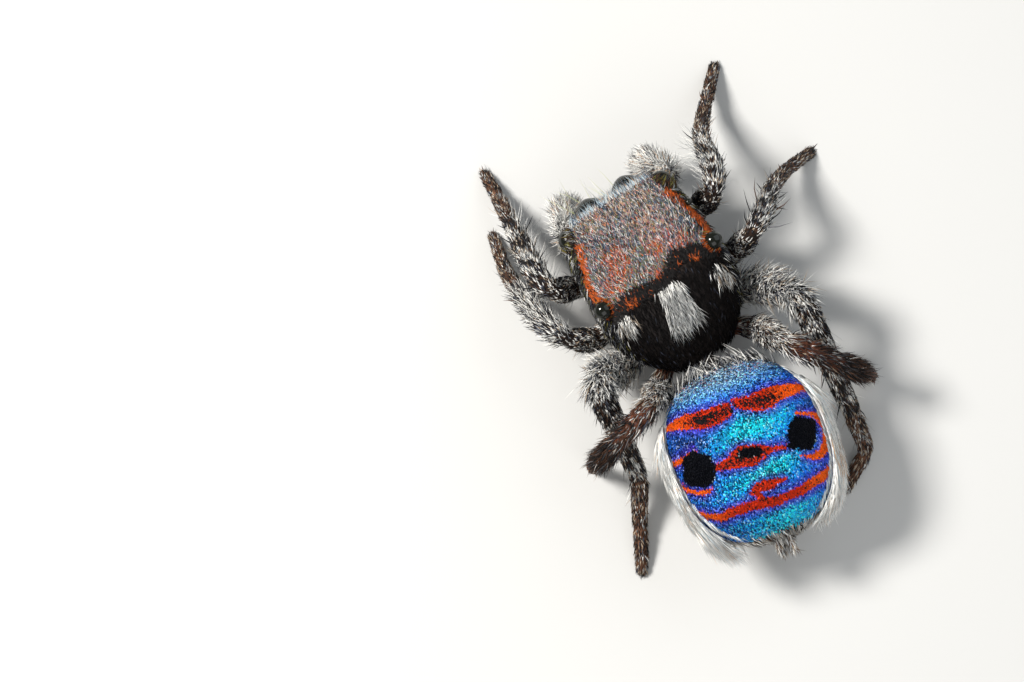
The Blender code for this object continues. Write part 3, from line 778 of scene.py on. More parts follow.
ROYAL = np.array([0.020, 0.055, 0.66])
NAVY = np.array([0.012, 0.035, 0.15])
MIST = np.array([0.19, 0.37, 0.52])
VIOLET = np.array([0.060, 0.018, 0.38])
SPOT = np.array([0.0015, 0.002, 0.004])
STRAW = np.array([0.60, 0.62, 0.30])


# Kinds of hair and scale

SHORT_FUR = Strand(0.060, 0.0088, lean=24, bend=8, spread=24, bands=1)
LONG_FUR = Strand(0.095, 0.0075, lean=34, bend=16, spread=24)
STRIPE_SCALE = Strand(0.070, 0.017, 0.5, lean=24, bend=8, spread=24, bands=1, sides=4)
BROW_FLUFF = Strand(0.19, 0.009, lean=17, bend=-12, spread=12)
BAND_HAIR = Strand(0.075, 0.013, 0.6, lean=34, bend=20, spread=25, bands=1)
EYE_RIM = Strand(0.11, 0.010, lean=64, bend=12, spread=16)
SOOTY_HAIR = Strand(0.10, 0.011, lean=18, bands=1)
TUFT_HAIR = Strand(0.20, 0.012, lean=24, bend=8, spread=13)
PATCH_HAIR = Strand(0.17, 0.012, lean=24, bend=8, spread=14)
FLANK_HAIR = Strand(0.12, 0.011, lean=22, spread=16)
BEARD = Strand(0.18, 0.012, lean=40, bend=12)
WHISKER = Strand(0.54, 0.008, lean=76, bend=74, spread=14, vary=0.18, bands=4)
PLATE_SCALE = Strand(0.040, 0.027, 0.28, lean=17, bend=4, spread=24, bands=1, sides=4, vary=0.14, dark=0.9)
CREST_BRISTLE = Strand(0.19, 0.011, lean=40, bend=22, spread=24, bands=3)
CREST_CURL = Strand(0.10, 0.012, lean=34, bend=18, spread=30)
DUST = Strand(0.060, 0.011, 0.6, lean=24, spread=30, bands=1)
BELLY_HAIR = Strand(0.13, 0.018, 0.6, lean=16)
MARGIN_HAIR = Strand(0.17, 0.011, lean=7, bend=3, spread=5, dark=0.9)
RUMP_HAIR = Strand(0.13, 0.012, lean=26)
TAIL_HAIR = Strand(0.10, 0.009, lean=34)
FRINGE_HAIR = Strand(0.32, 0.012, lean=3, bend=-5, spread=3, vary=0.15, dark=0.9)
FRINGE_SHORT = Strand(0.15, 0.018, 0.5, lean=6, bend=-2, spread=7, bands=1, dark=0.9)
FRINGE_LOOSE = {
    Side.LEFT: Strand(0.50, 0.012, lean=2, bend=-2, spread=2.5, bands=3, vary=0.08, dark=0.9),
    Side.RIGHT: Strand(0.36, 0.012, lean=2, bend=-2, spread=2.5, bands=3, vary=0.08, dark=0.9),
}
LEG_SCALE = Strand(0.085, 0.016, 0.55, lean=13, bend=3, spread=13, bands=1)
LEG_HAIR = Strand(0.16, 0.007, lean=42, bend=26, spread=20)
LEG_SPINE = Strand(0.20, 0.017, lean=42, bend=28, spread=12)
FLOSS = Strand(0.27, 0.0065, lean=52, bend=36, spread=16, bands=3)
FLUFF = Strand(0.13, 0.012, lean=34, bend=18, spread=22)
SHAG = Strand(0.24, 0.011, lean=34, bend=12, spread=26)
SHAG_CURL = Strand(0.12, 0.013, lean=36, bend=18, spread=34, bands=1)
LOCK = Strand(0.19, 0.011, lean=13, bend=5, spread=11, vary=0.12)
SKIRT = Strand(0.19, 0.011, lean=24, bend=10, spread=18, vary=0.1)
BRUSH = Strand(0.15, 0.010, lean=30, bend=14, spread=18)
COMB = Strand(0.15, 0.012, lean=36, bend=22, spread=14)
FEELER_BRUSH = Strand(0.16, 0.010, lean=38, bend=12, spread=28)
FEELER_CROWN = Strand(0.10, 0.010, lean=24, bend=10, spread=60)
JAW_HAIR = Strand(0.14, 0.010, lean=24, spread=18)


def heading(way: tuple[float, float, float], of_head: bool = False) -> Field:
    """Gives a field of one direction, in the head's own frame or the body's."""
    fixed = HEAD.heading(way) if of_head else np.array(way, float)
    return lambda points, normals: np.broadcast_to(fixed, points.shape).copy()


def everywhere(points: Array, normals: Array) -> Array:
    """Is a density of one."""
    return np.ones(points.shape[:-1])


# Head


@dataclass
class Head:
    """The head shell with its markings, and the breast plate under it.

    Attributes:
        length: Length from the rear to the face.
        stations: Places along the head for the next four.
        half_widths: Half widths there.
        tops: Heights of the top there.
        floors: Heights of the underside there.
        boxes: Squareness of the sections there, 2 for an ellipse.
        taper: Share by which the top is narrower than the middle.
        brow: Where the face's rounded edge starts, behind the face.
        inset: Depth of the shell inside its coat.
        rear_stations: Places across the head for the next.
        rear_places: Rear ends of the fur there.
        stripe_stations: Places along the head for the next.
        stripe_places: How far out the middles of the orange stripes run there.
        stripe_lean: Half of how much further out the right stripe runs.
    """

    length: float = 1.85
    stations: tuple = (0.0, 0.25, 0.6, 1.0, 1.5, 2.03)
    half_widths: tuple = (0.40, 0.64, 0.81, 0.82, 0.77, 0.69)
    tops: tuple = (1.03, 1.26, 1.48, 1.56, 1.56, 1.46)
    floors: tuple = (0.64, 0.60, 0.59, 0.59, 0.66, 0.82)
    boxes: tuple = (2.1, 2.3, 2.8, 3.6, 3.8, 3.6)
    taper: float = 0.05
    brow: float = 0.06
    inset: float = 0.025
    rear_stations: tuple = (-0.66, -0.59, -0.36, -0.08, 0.06, 0.25, 0.40, 0.56, 0.66)
    rear_places: tuple = (0.78, 0.80, 0.84, 0.80, 0.83, 0.95, 0.93, 0.87, 0.84)
    stripe_stations: tuple = (0.72, 0.80, 0.92, 1.05, 1.36, 1.60)
    stripe_places: tuple = (0.64, 0.655, 0.695, 0.710, 0.632, 0.557)
    stripe_lean: float = 0.012

    def shell(self) -> Sheet:
        """Builds the shell: each section is a rounded box whose half width, top and floor are curves.

        The section is x = w c, z = m + s (top - m) above its middle m or m + s (m - floor) below
        it. Three small sections close the rear, and the front closes by a quarter round into a
        flat face.

        Returns:
            The shell's surface, inside the coat.
        """
        edge = np.linspace(0, 0.5 * math.pi, 9)[1:]
        face = np.linspace(0.83, 0.03, 22)
        start = self.length - self.brow
        body, front = np.linspace(0, start, 120), start + 0.10 * np.sin(edge)
        flat_face, ends = front[-1] + 0.012 * (1 - face**2), 1 - 0.13 * (1 - np.cos(edge))
        forward = np.concatenate([[-0.08, -0.07, -0.045], body, front, flat_face])[:, None]
        scale = np.concatenate([[0.05, 0.55, 0.80], np.ones(len(body)), ends, face])[:, None]
        read = np.clip(forward, 0, self.length)
        curves = (self.half_widths, self.tops, self.floors, self.boxes)
        width, top, floor, power = (curve(read, self.stations, values) for values in curves)
        c, s = bulge(np.linspace(0, 2 * math.pi, 128, endpoint=False), power)
        middle, centre = floor + 0.30 * (top - floor), 0.5 * (top + floor)
        across = width * c * (1 - self.taper * np.maximum(s, 0)) * scale
        height = middle + np.where(s > 0, s * (top - middle), s * (middle - floor))
        grid = np.stack([forward + 0 * across, across, centre + (height - centre) * scale], axis=-1)
        return Sheet("shell", HEAD.out(grid)).swell(-self.inset)

    def breast(self) -> Sheet:
        """Builds the plate under the shell: a flat box whose half width is a root of a sine."""
        share = np.linspace(0, 1, 30)[:, None]
        outline = 0.34 * np.sin(math.pi * (0.03 + 0.94 * share)) ** 0.5
        c, s = bulge(np.linspace(0, 2 * math.pi, 32, endpoint=False), 2.8)
        grid = np.broadcast_arrays(0.10 + 1.50 * share, outline * c, 0.44 + 0.13 * s)
        return Sheet("breast", HEAD.out(np.stack(grid, axis=-1)))

    def stripe_line(self, place: Array) -> Array:
        """Tells how far out the middle of each orange stripe runs, a little further on the right."""
        line = curve(place[..., 0], self.stripe_stations, self.stripe_places)
        return line + self.stripe_lean * (1 + np.sign(place[..., 1]))

    def rear_line(self, across: Array) -> Array:
        """Tells where the fur of the top ends at the rear."""
        return curve(across, self.rear_stations, self.rear_places)

    def stripe(self, place: Array) -> Array:
        """Tells how far outside the middle of its side's orange stripe each place is."""
        return np.abs(place[..., 1]) - self.stripe_line(place)

    def tone(self, points: Array, rng: np.random.Generator) -> Array:
        """Colours the bare shell: near black, browner in front and rust under the stripes."""
        place = HEAD.into(points)
        base = mix(CHITIN, 0.5 * BROWN, smooth(place[..., 0], 0.6, 1.6))
        stripes = hump(self.stripe(place), 0, 0.025, 0.03) * hump(place[..., 0], 1.16, 0.42, 0.1)
        return mix(base, 0.4 * EMBER, stripes * smooth(points[..., 2], 1.2, 1.35))


@dataclass
class HeadCoat:
    """Grows the fur, the stripes, the tuft and the face's hairs on the head.

    Attributes:
        head: The head.
        sheet: Its shell.
        rng: Source of the draws.
        blots: Rusty blots of the fur: place forward and to the right, size and strength.
        embers: Places of the red tufts in the dark band behind the fur.
    """

    head: Head
    sheet: Sheet
    rng: np.random.Generator
    blots: tuple = (
        (1.25, -0.31, 0.13, 1.0),
        (1.10, -0.34, 0.11, 1.0),
        (1.10, 0.14, 0.10, 0.8),
        (1.02, 0.40, 0.10, 0.7),
        (1.00, -0.50, 0.12, 0.7),
        (0.86, 0.02, 0.06, 1.2),
    )
    embers: tuple = ((0.86, 0.0), (0.73, -0.40), (0.76, 0.42))

    def in_field(self, points: Array, normals: Array) -> Array:
        """Is the density of the fur on the flat top between the stripes."""
        place = HEAD.into(points)
        edge = np.clip(self.head.stripe_line(place) - 0.01, 0, 0.66)
        inside = smooth(edge - np.abs(place[..., 1]), -0.012, 0.012)
        rear = self.head.rear_line(place[..., 1]) + 0.03 * ripple(points, 0.12, 3)
        return smooth(normals[..., 2], 0.0, 0.4) * smooth(place[..., 0] - rear, -0.02, 0.02) * inside

    def field_tint(self, points: Array, rng: np.random.Generator) -> Array:
        """Mixes slate, steel, grey and black hairs, with blots of rust, peach, pink and moss."""
        place = HEAD.into(points)
        ahead, right = place[:, 0], place[:, 1]
        rust = np.zeros(len(points))
        for forward, across, size, strength in self.blots:
            rust = np.maximum(rust, strength * bell(np.hypot(ahead - forward, right - across), 0, size))
        rust = rust * (0.75 + 0.5 * ripple(points, 0.12, 8)) + 0.04
        front = smooth(ahead, 1.56, 1.70) * smooth(0.9 - np.abs(right), 0.3, 0.6)
        warm = 1.2 * blot(place, (1.40, 0.20), (0.17, 0.20)) + 0.9 * front
        cool = 1 - 0.6 * smooth(rust + 0.5 * warm, 0.1, 0.8)
        moss = 0.10 + 0.30 * blot(place, (1.02, -0.16), (0.20, 0.26))
        shares = [
            (BLACK, 0.34 - 0.14 * ripple(points, 0.09, 6)),
            (SLATE, 0.26),
            (GREY, 0.20),
            (STEEL, 0.22 * cool),
            (WHITE, 0.09 + 0.07 * ripple(points, 0.14, 5) + 0.06 * warm),
            (RUST, rust),
            (ORANGE, 0.5 * rust),
            (PEACH, 0.32 * warm),
            (PINK, 0.08 + 0.20 * blot(place, (1.25, 0.26), (0.18, 0.20))),
            (MOSS, 0.8 * moss),
            (OLIVE, 0.4 * moss),
        ]
        return palette(len(points), rng, *shares)

    def on_stripe(self, points: Array, normals: Array) -> Array:
        """Is the density of the orange scales of each ragged stripe, with a gap in the left one."""
        place = HEAD.into(points)
        width = np.where(place[..., 1] > 0, 0.036, 0.029) + 0.016 * ripple(points, 0.09, 11)
        near = hump(self.head.stripe(place), 0.012 * ripple(points, 0.16, 12), width, 0.02)
        gap = (place[..., 1] < 0) * bell(place[..., 0], 0.945, 0.035)
        return near * (1 - gap) * hump(place[..., 0], 1.19, 0.42, 0.04) * (points[..., 2] > 1.1)

    def on_tuft(self, points: Array, normals: Array) -> Array:
        """Is the density of the white tuft on the slope behind the field, wider to the rear."""
        place = HEAD.into(points)
        behind = smooth(0.80 - place[..., 0], 0, 0.5)
        wide = hump(place[..., 1] - 0.030 + 0.045 * behind, 0, 0.095 + 0.075 * behind, 0.05)
        ragged = 0.62 + 0.5 * ripple(points * (1, 3, 1), 0.16, 14)
        return wide * ragged * hump(place[..., 0], 0.56, 0.22, 0.05) * (normals[..., 2] > 0)

    def on_patches(self, points: Array, normals: Array) -> Array:
        """Is the density of the pale patch on each side of the slope."""
        place = HEAD.into(points)
        left = np.hypot(place[..., 0] - 0.68, place[..., 1] + 0.58)
        right = np.hypot(place[..., 0] - 0.60, place[..., 1] - 0.60)
        return hump(np.minimum(left, right), 0, 0.085, 0.08) * (points[..., 2] > 0.95)

    def on_front_line(self, points: Array, normals: Array) -> Array:
        """Is the density of the pale fluff along the front edge of the top."""
        place = HEAD.into(points)
        line = hump(place[..., 0], self.head.length + 0.01, 0.035, 0.02) * (np.abs(place[..., 1]) < 0.66)
        return line * smooth(points[..., 2], 1.36, 1.42)

    def on_sides(self, points: Array, normals: Array) -> Array:
        """Is the density of the hair on the flanks of the head."""
        place = HEAD.into(points)
        low = (points[..., 2] > 0.62) * (np.abs(place[..., 1]) > 0.3)
        outside = smooth(self.head.stripe(place), 0.02, 0.05)
        return low * np.maximum(outside, normals[..., 2] < 0.3) * smooth(place[..., 0], 0.15, 0.4)

    def on_face(self, points: Array, normals: Array) -> Array:
        """Is the density of the pale hair of the face, clear of the front eyes and thicker below them."""
        face = (normals[..., 0] > 0.6) * (HEAD.into(points)[..., 0] > 1.7) * (points[..., 2] < 1.36)
        density = face * (0.25 + smooth(1.12 - points[..., 2], 0, 0.15))
        for kind in ("front_middle", "front_side"):
            for side in Side:
                density = density * smooth(from_eye(points, kind, side) / EYES[kind].radius, 0.96, 1.04)
        return density

    def round_eyes(self, points: Array, normals: Array) -> Array:
        """Is the density of the short hairs that rim the side and rear eyes."""
        density = np.zeros(points.shape[:-1])
        for kind in ("front_side", "rear"):
            for side in Side:
                rim = hump(from_eye(points, kind, side) - EYES[kind].radius, 0.025, 0.025, 0.02)
                density = np.maximum(density, rim)
        return density

    def rim_tint(self, points: Array, rng: np.random.Generator) -> Array:
        """Colours the rims: orange on the inner side of the rear eyes, dark, olive and brown elsewhere."""
        place = HEAD.into(points)
        inner = (self.head.stripe(place) < 0.06) & (place[:, 0] < 1.2)
        shares = [(BLACK, 0.45), (BROWN, 0.25), (OLIVE, 0.12), (PALE, 0.10), (EMBER, 1.6 * inner)]
        return palette(len(points), rng, *shares)

    def to_eyes(self, points: Array, normals: Array) -> Array:
        """Points to the nearest eye."""
        ways = np.array([eye_centre(kind, side) for kind in EYES for side in Side]) - points[:, None]
        return ways[np.arange(len(points)), np.linalg.norm(ways, axis=-1).argmin(axis=1)]

    def on_rear_edge(self, points: Array, normals: Array) -> Array:
        """Is the density of the dark band behind the field."""
        place = HEAD.into(points)
        band = hump(place[..., 0] - self.head.rear_line(place[..., 1]), -0.06, 0.08, 0.05)
        return band * (np.abs(place[..., 1]) < 0.66) * (normals[..., 2] > 0.3)

    def band_tint(self, points: Array, rng: np.random.Generator) -> Array:
        """Colours the dark band: black, with red tufts in a few places."""
        place = HEAD.into(points)
        glow = 0.015 + 0.9 * sum(blot(place, spot, (0.045, 0.045)) for spot in self.embers)
        return palette(len(points), rng, (BLACK, 1.0), (RUST, 0.5 * glow), (EMBER, glow))

    def on_thorax(self, points: Array, normals: Array) -> Array:
        """Is the density of the dark hair on the slope and the rear."""
        return (HEAD.into(points)[..., 0] < 0.84) * (normals[..., 2] > -0.2) * (points[..., 2] > 0.75)

    def on_muzzle(self, points: Array, normals: Array) -> Array:
        """Is the density of the few long hairs between the front eyes and below them."""
        place = HEAD.into(points)
        between = (place[..., 0] > 1.86) * (np.abs(place[..., 1] + 0.1) < 0.3)
        return between * hump(points[..., 2], 1.02, 0.10, 0.05)

    def build(self) -> None:
        """Builds the head's coat pieces."""
        forward, back = heading((1, 0, 0), True), heading((-1, 0, -0.3))
        down, under = heading((-0.6, 0, -0.8), True), heading((0.2, 0, -1), True)
        frosty = tinted((WHITE, 0.4), (STEEL, 0.4), (PEACH, 0.2))
        orange = tinted((EMBER, 0.50), (ORANGE, 0.09), (RUST, 0.20), (BLACK, 0.21))
        bluish = tinted((BLUEWHITE, 0.42), (WHITE, 0.14), (STEEL, 0.2), (PEACH, 0.10), (SLATE, 0.14))
        sooty = tinted((BLACK, 0.80), (CHITIN, 0.17), (SLATE, 0.03))
        snowy = tinted((SNOW, 0.56), (WHITE, 0.14), (PALE, 0.06), (BLACK, 0.24))
        sandy = tinted((SNOW, 0.30), (TAN, 0.24), (WHITE, 0.16), (BLACK, 0.30))
        ashen = tinted((BLACK, 0.44), (SLATE, 0.2), (PALE, 0.14), (WHITE, 0.12), (OLIVE, 0.10))
        milky = tinted((WHITE, 0.5), (BLUEWHITE, 0.15), (PALE, 0.25), (PEACH, 0.10))
        straw = tinted((STRAW, 0.6), (PALE, 0.2), (WHITE, 0.2))
        coats = {
            "head_fur": [
                (SHORT_FUR, 26000, self.in_field, forward, self.field_tint),
                (LONG_FUR, 800, self.in_field, forward, frosty),
            ],
            "head_marks": [
                (STRIPE_SCALE, 2600, self.on_stripe, forward, orange),
                (BROW_FLUFF, 1700, self.on_front_line, forward, bluish),
                (BAND_HAIR, 3000, self.on_rear_edge, forward, self.band_tint),
                (EYE_RIM, 2300, self.round_eyes, self.to_eyes, self.rim_tint),
            ],
            "thorax_hair": [(SOOTY_HAIR, 4200, self.on_thorax, back, sooty)],
            "thorax_tufts": [
                (TUFT_HAIR, 1250, self.on_tuft, back, snowy),
                (PATCH_HAIR, 330, self.on_patches, back, sandy),
            ],
            "face_and_flank_hair": [
                (FLANK_HAIR, 5200, self.on_sides, down, ashen),
                (BEARD, 2600, self.on_face, under, milky),
                (WHISKER, 16, self.on_muzzle, heading((0, -1, 0), True), straw),
            ],
        }
        finishes = {"thorax_hair": SOOT, "thorax_tufts": SILK}
        for name, rows in coats.items():
            coat = Coat(name, "shell")
            coat.cover(self.sheet, rows, self.rng)
            coat.build(finishes.get(name, HAIR))


# Abdomen, fan and their pattern


@dataclass
class Abdomen:
    """The abdomen with the patterned plate on top, and the two folded flaps of the fan.

    Attributes:
        centre: Place of its middle, forward of the waist.
        aside: Place of its middle to the right.
        turn: How far it is turned to the left, in degrees.
        half_width: Half of its width.
        half_length: Half of its length.
        middle: Height of its widest line.
        top: Height of its top.
        floor: Height of its underside.
        inset: Depth of the surface inside its scales.
        flap_gap: Gap between a flap and the surface.
        flap_thickness: Thickness of a flap.
        cones: Height and length of each pair of spinnerets, from the top.
    """

    centre: float = -1.255
    aside: float = -0.044
    turn: float = -6.0
    half_width: float = 0.915
    half_length: float = 1.03
    middle: float = 1.02
    top: float = 1.60
    floor: float = 0.48
    inset: float = 0.02
    flap_gap: float = 0.028
    flap_thickness: float = 0.035
    cones: tuple = ((0.99, 0.22), (0.93, 0.16), (0.87, 0.20))

    def grid(self, along: Array, angles: Array, grow: float = 0.0) -> Array:
        """Gives places on the abdomen: sections shrink to the ends as (1 - |u|^2.4)^(1/2.2).

        Args:
            along: u, from -1 at the rear to 1 at the front.
            angles: Angles round a section from the right side upwards.
            grow: How far outside the surface.

        Returns:
            Places in the abdomen's own frame.
        """
        along, angles = np.meshgrid(along, angles, indexing="ij")
        shape = np.maximum(1 - np.abs(along) ** 2.4, 0) ** (1 / 2.2)
        c, s = bulge(angles, 2.5)
        across = (self.half_width * shape + grow) * c
        up = (self.top - self.middle) * shape + grow
        down = (self.middle - self.floor) * shape + grow
        lift = 0.06 * along * shape - 0.08 * (1 - shape)
        height = self.middle + lift + np.where(s > 0, s * up, s * down)
        return np.stack([(self.half_length + grow) * along, across, height], axis=-1)

    def out(self, points: Array) -> Array:
        """Sets points of the abdomen's own frame behind the waist and turns them."""
        return turned(points, self.turn) + (self.centre, self.aside, 0)

    def into(self, points: Array) -> Array:
        """Reads points of the body's directions in the abdomen's own frame."""
        return turned(points - (self.centre, self.aside, 0), -self.turn)

    def body(self) -> Sheet:
        """Builds the abdomen's surface, inside its scales."""
        along = np.sin(np.linspace(-0.5 * math.pi, 0.5 * math.pi, 122))[1:-1]
        angles = np.linspace(0, 2 * math.pi, 120, endpoint=False)
        return Sheet("abdomen", self.out(self.grid(along, angles))).swell(-self.inset)

    def flap(self, side: Side) -> Sheet:
        """Builds a flap: the abdomen's own surface moved out twice, the two joined round their rim."""
        rows, columns = 60, 22
        along = np.linspace(-0.80, 0.52, rows)
        angles = np.radians(np.linspace(24, -60, columns))
        inner = self.grid(along, angles, self.flap_gap)
        outer = self.grid(along, angles, self.flap_gap + self.flap_thickness)
        edge = np.sin(np.linspace(0.1, math.pi - 0.1, columns))[None, :, None] ** 0.6
        ends = np.clip(np.sin(np.linspace(0.06, math.pi - 0.06, rows)) * 3, 0, 1)[:, None, None]
        outer = inner + edge * ends * (outer - inner)
        ring = np.concatenate([outer, inner[:, ::-1]], axis=1) * side.mirror
        return Sheet(f"flap_{side.word}", self.out(ring))

    def spinnerets(self) -> list[Sheet]:
        """Builds the three pairs of small cones that end the abdomen."""
        sheets = []
        for row, (height, length) in enumerate(self.cones):
            for side in Side:
                across = side.value * (0.055 - 0.012 * row)
                start = np.array([0.08 - self.half_length, across, height])
                line = Route(self.out(np.array([start, start - (length, -0.4 * across, 0.03)])))
                sheets.append(line.cone(f"spinneret_{row}_{side.word}", 0.036, 0.018, 16, 0.02))
        return sheets


@dataclass(frozen=True)
class Strip:
    """A strip on the plate's plan, round a line b(a) with a half thickness h(a).

    Attributes:
        stations: Places to the right, rising.
        lines: Forward places of its middle there.
        halves: Half thicknesses there.
    """

    stations: tuple
    lines: tuple
    halves: tuple

    def depth(self, a: Array, b: Array) -> Array:
        """Tells how deep inside the strip each place is, in mm, negative outside."""
        line, half = (curve(a, self.stations, values) for values in (self.lines, self.halves))
        past = np.maximum(np.maximum(self.stations[0] - a, a - self.stations[-1]), 0)
        return half - np.hypot(b - line, 3.0 * past)


@dataclass(frozen=True)
class Block:
    """A rounded box on the plate's plan, turned with the pattern's lean.

    Attributes:
        centre: Its middle, to the right and forward.
        widths: Shares by which its two axes are stretched.
        power: Squareness of its outline, 2 for an ellipse.
        lean: Turn of its axes, in degrees.
    """

    centre: tuple[float, float]
    widths: tuple[float, float]
    power: float
    lean: float = -27.0

    def axes(self, a: Array, b: Array) -> tuple[Array, Array]:
        """Gives how far each place lies along the two axes."""
        lean = math.radians(self.lean)
        right, ahead = a - self.centre[0], b - self.centre[1]
        x = right * math.cos(lean) + ahead * math.sin(lean)
        return x, ahead * math.cos(lean) - right * math.sin(lean)

    def reach(self, a: Array, b: Array) -> Array:
        """Gives how far out each place lies, in mm along a stretched axis."""
        x, y = (np.abs(c / width) ** self.power for c, width in zip(self.axes(a, b), self.widths))
        return (x + y) ** (1 / self.power)


FRONT_LEFT = Strip(
    (-0.80, -0.73, -0.58, -0.44, -0.295, -0.145, -0.02),
    (0.435, 0.446, 0.444, 0.417, 0.397, 0.400, 0.405),
    (0.020, 0.036, 0.074, 0.096, 0.106, 0.094, 0.070),
)
FRONT_RIGHT = Strip(
    (0.05, 0.156, 0.24, 0.35, 0.456, 0.562, 0.706, 0.841, 0.90),
    (0.446, 0.403, 0.379, 0.364, 0.368, 0.375, 0.366, 0.336, 0.30),
    (0.052, 0.073, 0.092, 0.110, 0.112, 0.086, 0.062, 0.043, 0.024),
)
MIDDLE_BAR = Strip(
    (-0.40, -0.265, -0.106, 0.006, 0.127, 0.24, 0.38, 0.47),
    (-0.150, -0.156, -0.133, -0.157, -0.157, -0.174, -0.193, -0.214),
    (0.044, 0.064, 0.115, 0.122, 0.084, 0.040, 0.022, 0.018),
)
REAR_BAND = Strip(
    (-0.84, -0.69, -0.57, -0.40, -0.108, 0.06, 0.238, 0.422, 0.613, 0.80, 0.88),
    (-0.540, -0.636, -0.688, -0.676, -0.700, -0.727, -0.730, -0.718, -0.681, -0.645, -0.600),
    (0.022, 0.042, 0.047, 0.050, 0.058, 0.056, 0.050, 0.054, 0.058, 0.050, 0.026),
)
REAR_BAR = Strip(
    (-0.15, -0.116, 0.005, 0.101, 0.194, 0.29),
    (-0.56, -0.540, -0.527, -0.537, -0.535, -0.543),
    (0.02, 0.036, 0.056, 0.054, 0.032, 0.018),
)
LEFT_ARC_ABOVE = Strip((-0.92, -0.72, -0.56), (0.045, 0.065, 0.105), (0.030, 0.030, 0.020))
LEFT_ARC_BELOW = Strip(
    (-0.93, -0.84, -0.75, -0.61, -0.53),
    (-0.10, -0.245, -0.320, -0.365, -0.350),
    (0.05, 0.038, 0.028, 0.024, 0.016),
)
RIGHT_ARC = Block((0.668, -0.160), (1.08, 0.93), 2.7)
RIGHT_SPOT = Block((0.648, -0.140), (0.94, 1.08), 3.2)
LEFT_SPOT = Block((-0.600, -0.105), (1.02, 1.02), 2.3)


@dataclass
class Pattern:
    """The plate's pattern, as bands, bars and spots on its plan (right a, forward b, in mm)."""

    abdomen: Abdomen

    def plan(self, points: Array) -> tuple[Array, Array]:
        """Gives the plan place of points, with the lean of the low parts outwards and rearwards taken in."""
        place = self.abdomen.into(points)
        outwards = 1 + 0.25 * np.maximum(1.40 - place[..., 2], 0)
        return 1.04 * place[..., 1] * outwards + 0.02, place[..., 0] + 0.21 * (place[..., 2] - 1.58) - 0.028

    def right_arc(self, a: Array, b: Array) -> Array:
        """Gives the depth inside the thin arc round the right spot, a ring cut open on the inner side."""
        x, y = RIGHT_ARC.axes(a, b)
        half = 0.015 + 0.036 * smooth(x, -0.05, 0.22) - 0.006 * smooth(-y, 0.1, 0.25)
        return np.where(x > -0.13 + 0.10 * (y < 0), half - np.abs(RIGHT_ARC.reach(a, b) - 0.255), -1.0)

    def joint(self, a: Array, b: Array) -> Array:
        """Gives the depth inside the short slanted mark that joins the rear bar to the rear band."""
        inside = 0.034 - 0.85 * np.abs(a + 0.10 - 0.55 * (-0.55 - b))
        return np.where((b < -0.53) & (b > -0.72), inside, -1.0)

    def marks(self, a: Array, b: Array) -> tuple[Array, Array]:
        """Gives the depth inside the red marks, and how dusted with black they are there."""
        left, right, middle = (strip.depth(a, b) for strip in (FRONT_LEFT, FRONT_RIGHT, MIDDLE_BAR))
        others = [strip.depth(a, b) for strip in (REAR_BAND, REAR_BAR, LEFT_ARC_ABOVE, LEFT_ARC_BELOW)]
        depth = np.maximum.reduce([left, right, middle, self.joint(a, b), self.right_arc(a, b), *others])
        core = np.maximum.reduce([left / 0.10, right / 0.11, middle / 0.12])
        soot = 0.05 - np.hypot(a - 0.02, b + 0.70)
        near = 1 - 0.8 * smooth(np.abs(a), 0.42, 0.66)
        dust = np.clip(0.16 + 1.05 * np.clip(core, 0, 1) ** 1.2 + 12 * np.clip(soot, 0, 1), 0, 1) * near
        return depth, dust

    def spots(self, a: Array, b: Array) -> Array:
        """Gives the depth inside the black spots and the lens of the middle bar."""
        edge = 0.010 * ripple(np.stack([a, b, 0 * a], axis=-1), 0.14, 41)
        right = 0.178 + edge - RIGHT_SPOT.reach(a, b)
        left = 0.190 + 2 * edge - LEFT_SPOT.reach(a, b)
        lens = 0.058 - np.hypot((a - 0.02) * 0.42, b + 0.124 + 0.20 * (a - 0.02))
        return np.maximum.reduce([right, left, lens])

    def ground(self, a: Array, b: Array, depth: Array) -> Array:
        """Colours the ground: misty blue in front, cyan amid, navy at the sides and violet near marks."""
        plan = np.stack([a, b], axis=-1)
        cyan = bell(a, 0.12, 0.44) * (bell(b, 0.14, 0.15) + bell(b - 0.10 * a, -0.40, 0.12))
        cyan = cyan + 0.65 * smooth(-b, 0.76, 0.90) * bell(a, 0.15, 0.4)
        mist = smooth(b, 0.50, 0.72) * (0.55 + 0.25 * smooth(0.4 - np.abs(a), 0, 0.4))
        navy = 0.95 * blot(plan, (-0.58, 0.20), (0.32, 0.15)) + 0.5 * blot(plan, (0.80, 0.16), (0.14, 0.10))
        violet = 0.75 * smooth(depth, -0.12, -0.01)
        colour = mix(AZURE, ROYAL, 0.35 * smooth(np.abs(a), 0.2, 0.8))
        for tone, share in ((CYAN, cyan), (MIST, mist), (NAVY, navy), (VIOLET, violet)):
            colour = mix(colour, tone, np.clip(share, 0, 1))
        return colour

    def colour(self, a: Array, b: Array, chance: Array) -> Array:
        """Gives the pattern's colour.

        Args:
            a: Place to the right.
            b: Place forward.
            chance: A number from 0 to 1 for each place, which dusts the marks.

        Returns:
            Colours in the places' shape.
        """
        depth, dust = self.marks(a, b)
        wobble = 0.016 * (chance - 0.5)
        marks = mix(RED, ORANGE, 0.80 * smooth(np.abs(a), 0.36, 0.72))
        marks = np.where((chance < dust * 0.80)[..., None], 1.5 * BLACK, marks)
        colour = np.where((depth + wobble > 0)[..., None], marks, self.ground(a, b, depth))
        return np.where((self.spots(a, b) + wobble > 0)[..., None], SPOT, colour)

    def tone(self, points: Array, rng: np.random.Generator) -> Array:
        """Colours the plate's skin under the scales, darker than they are, and the belly tan."""
        a, b = self.plan(points)
        plate = smooth(self.abdomen.into(points)[..., 2], 0.95, 1.15)
        return mix(0.35 * TAN, 0.55 * self.colour(a, b, np.full(a.shape, 0.35)), plate)


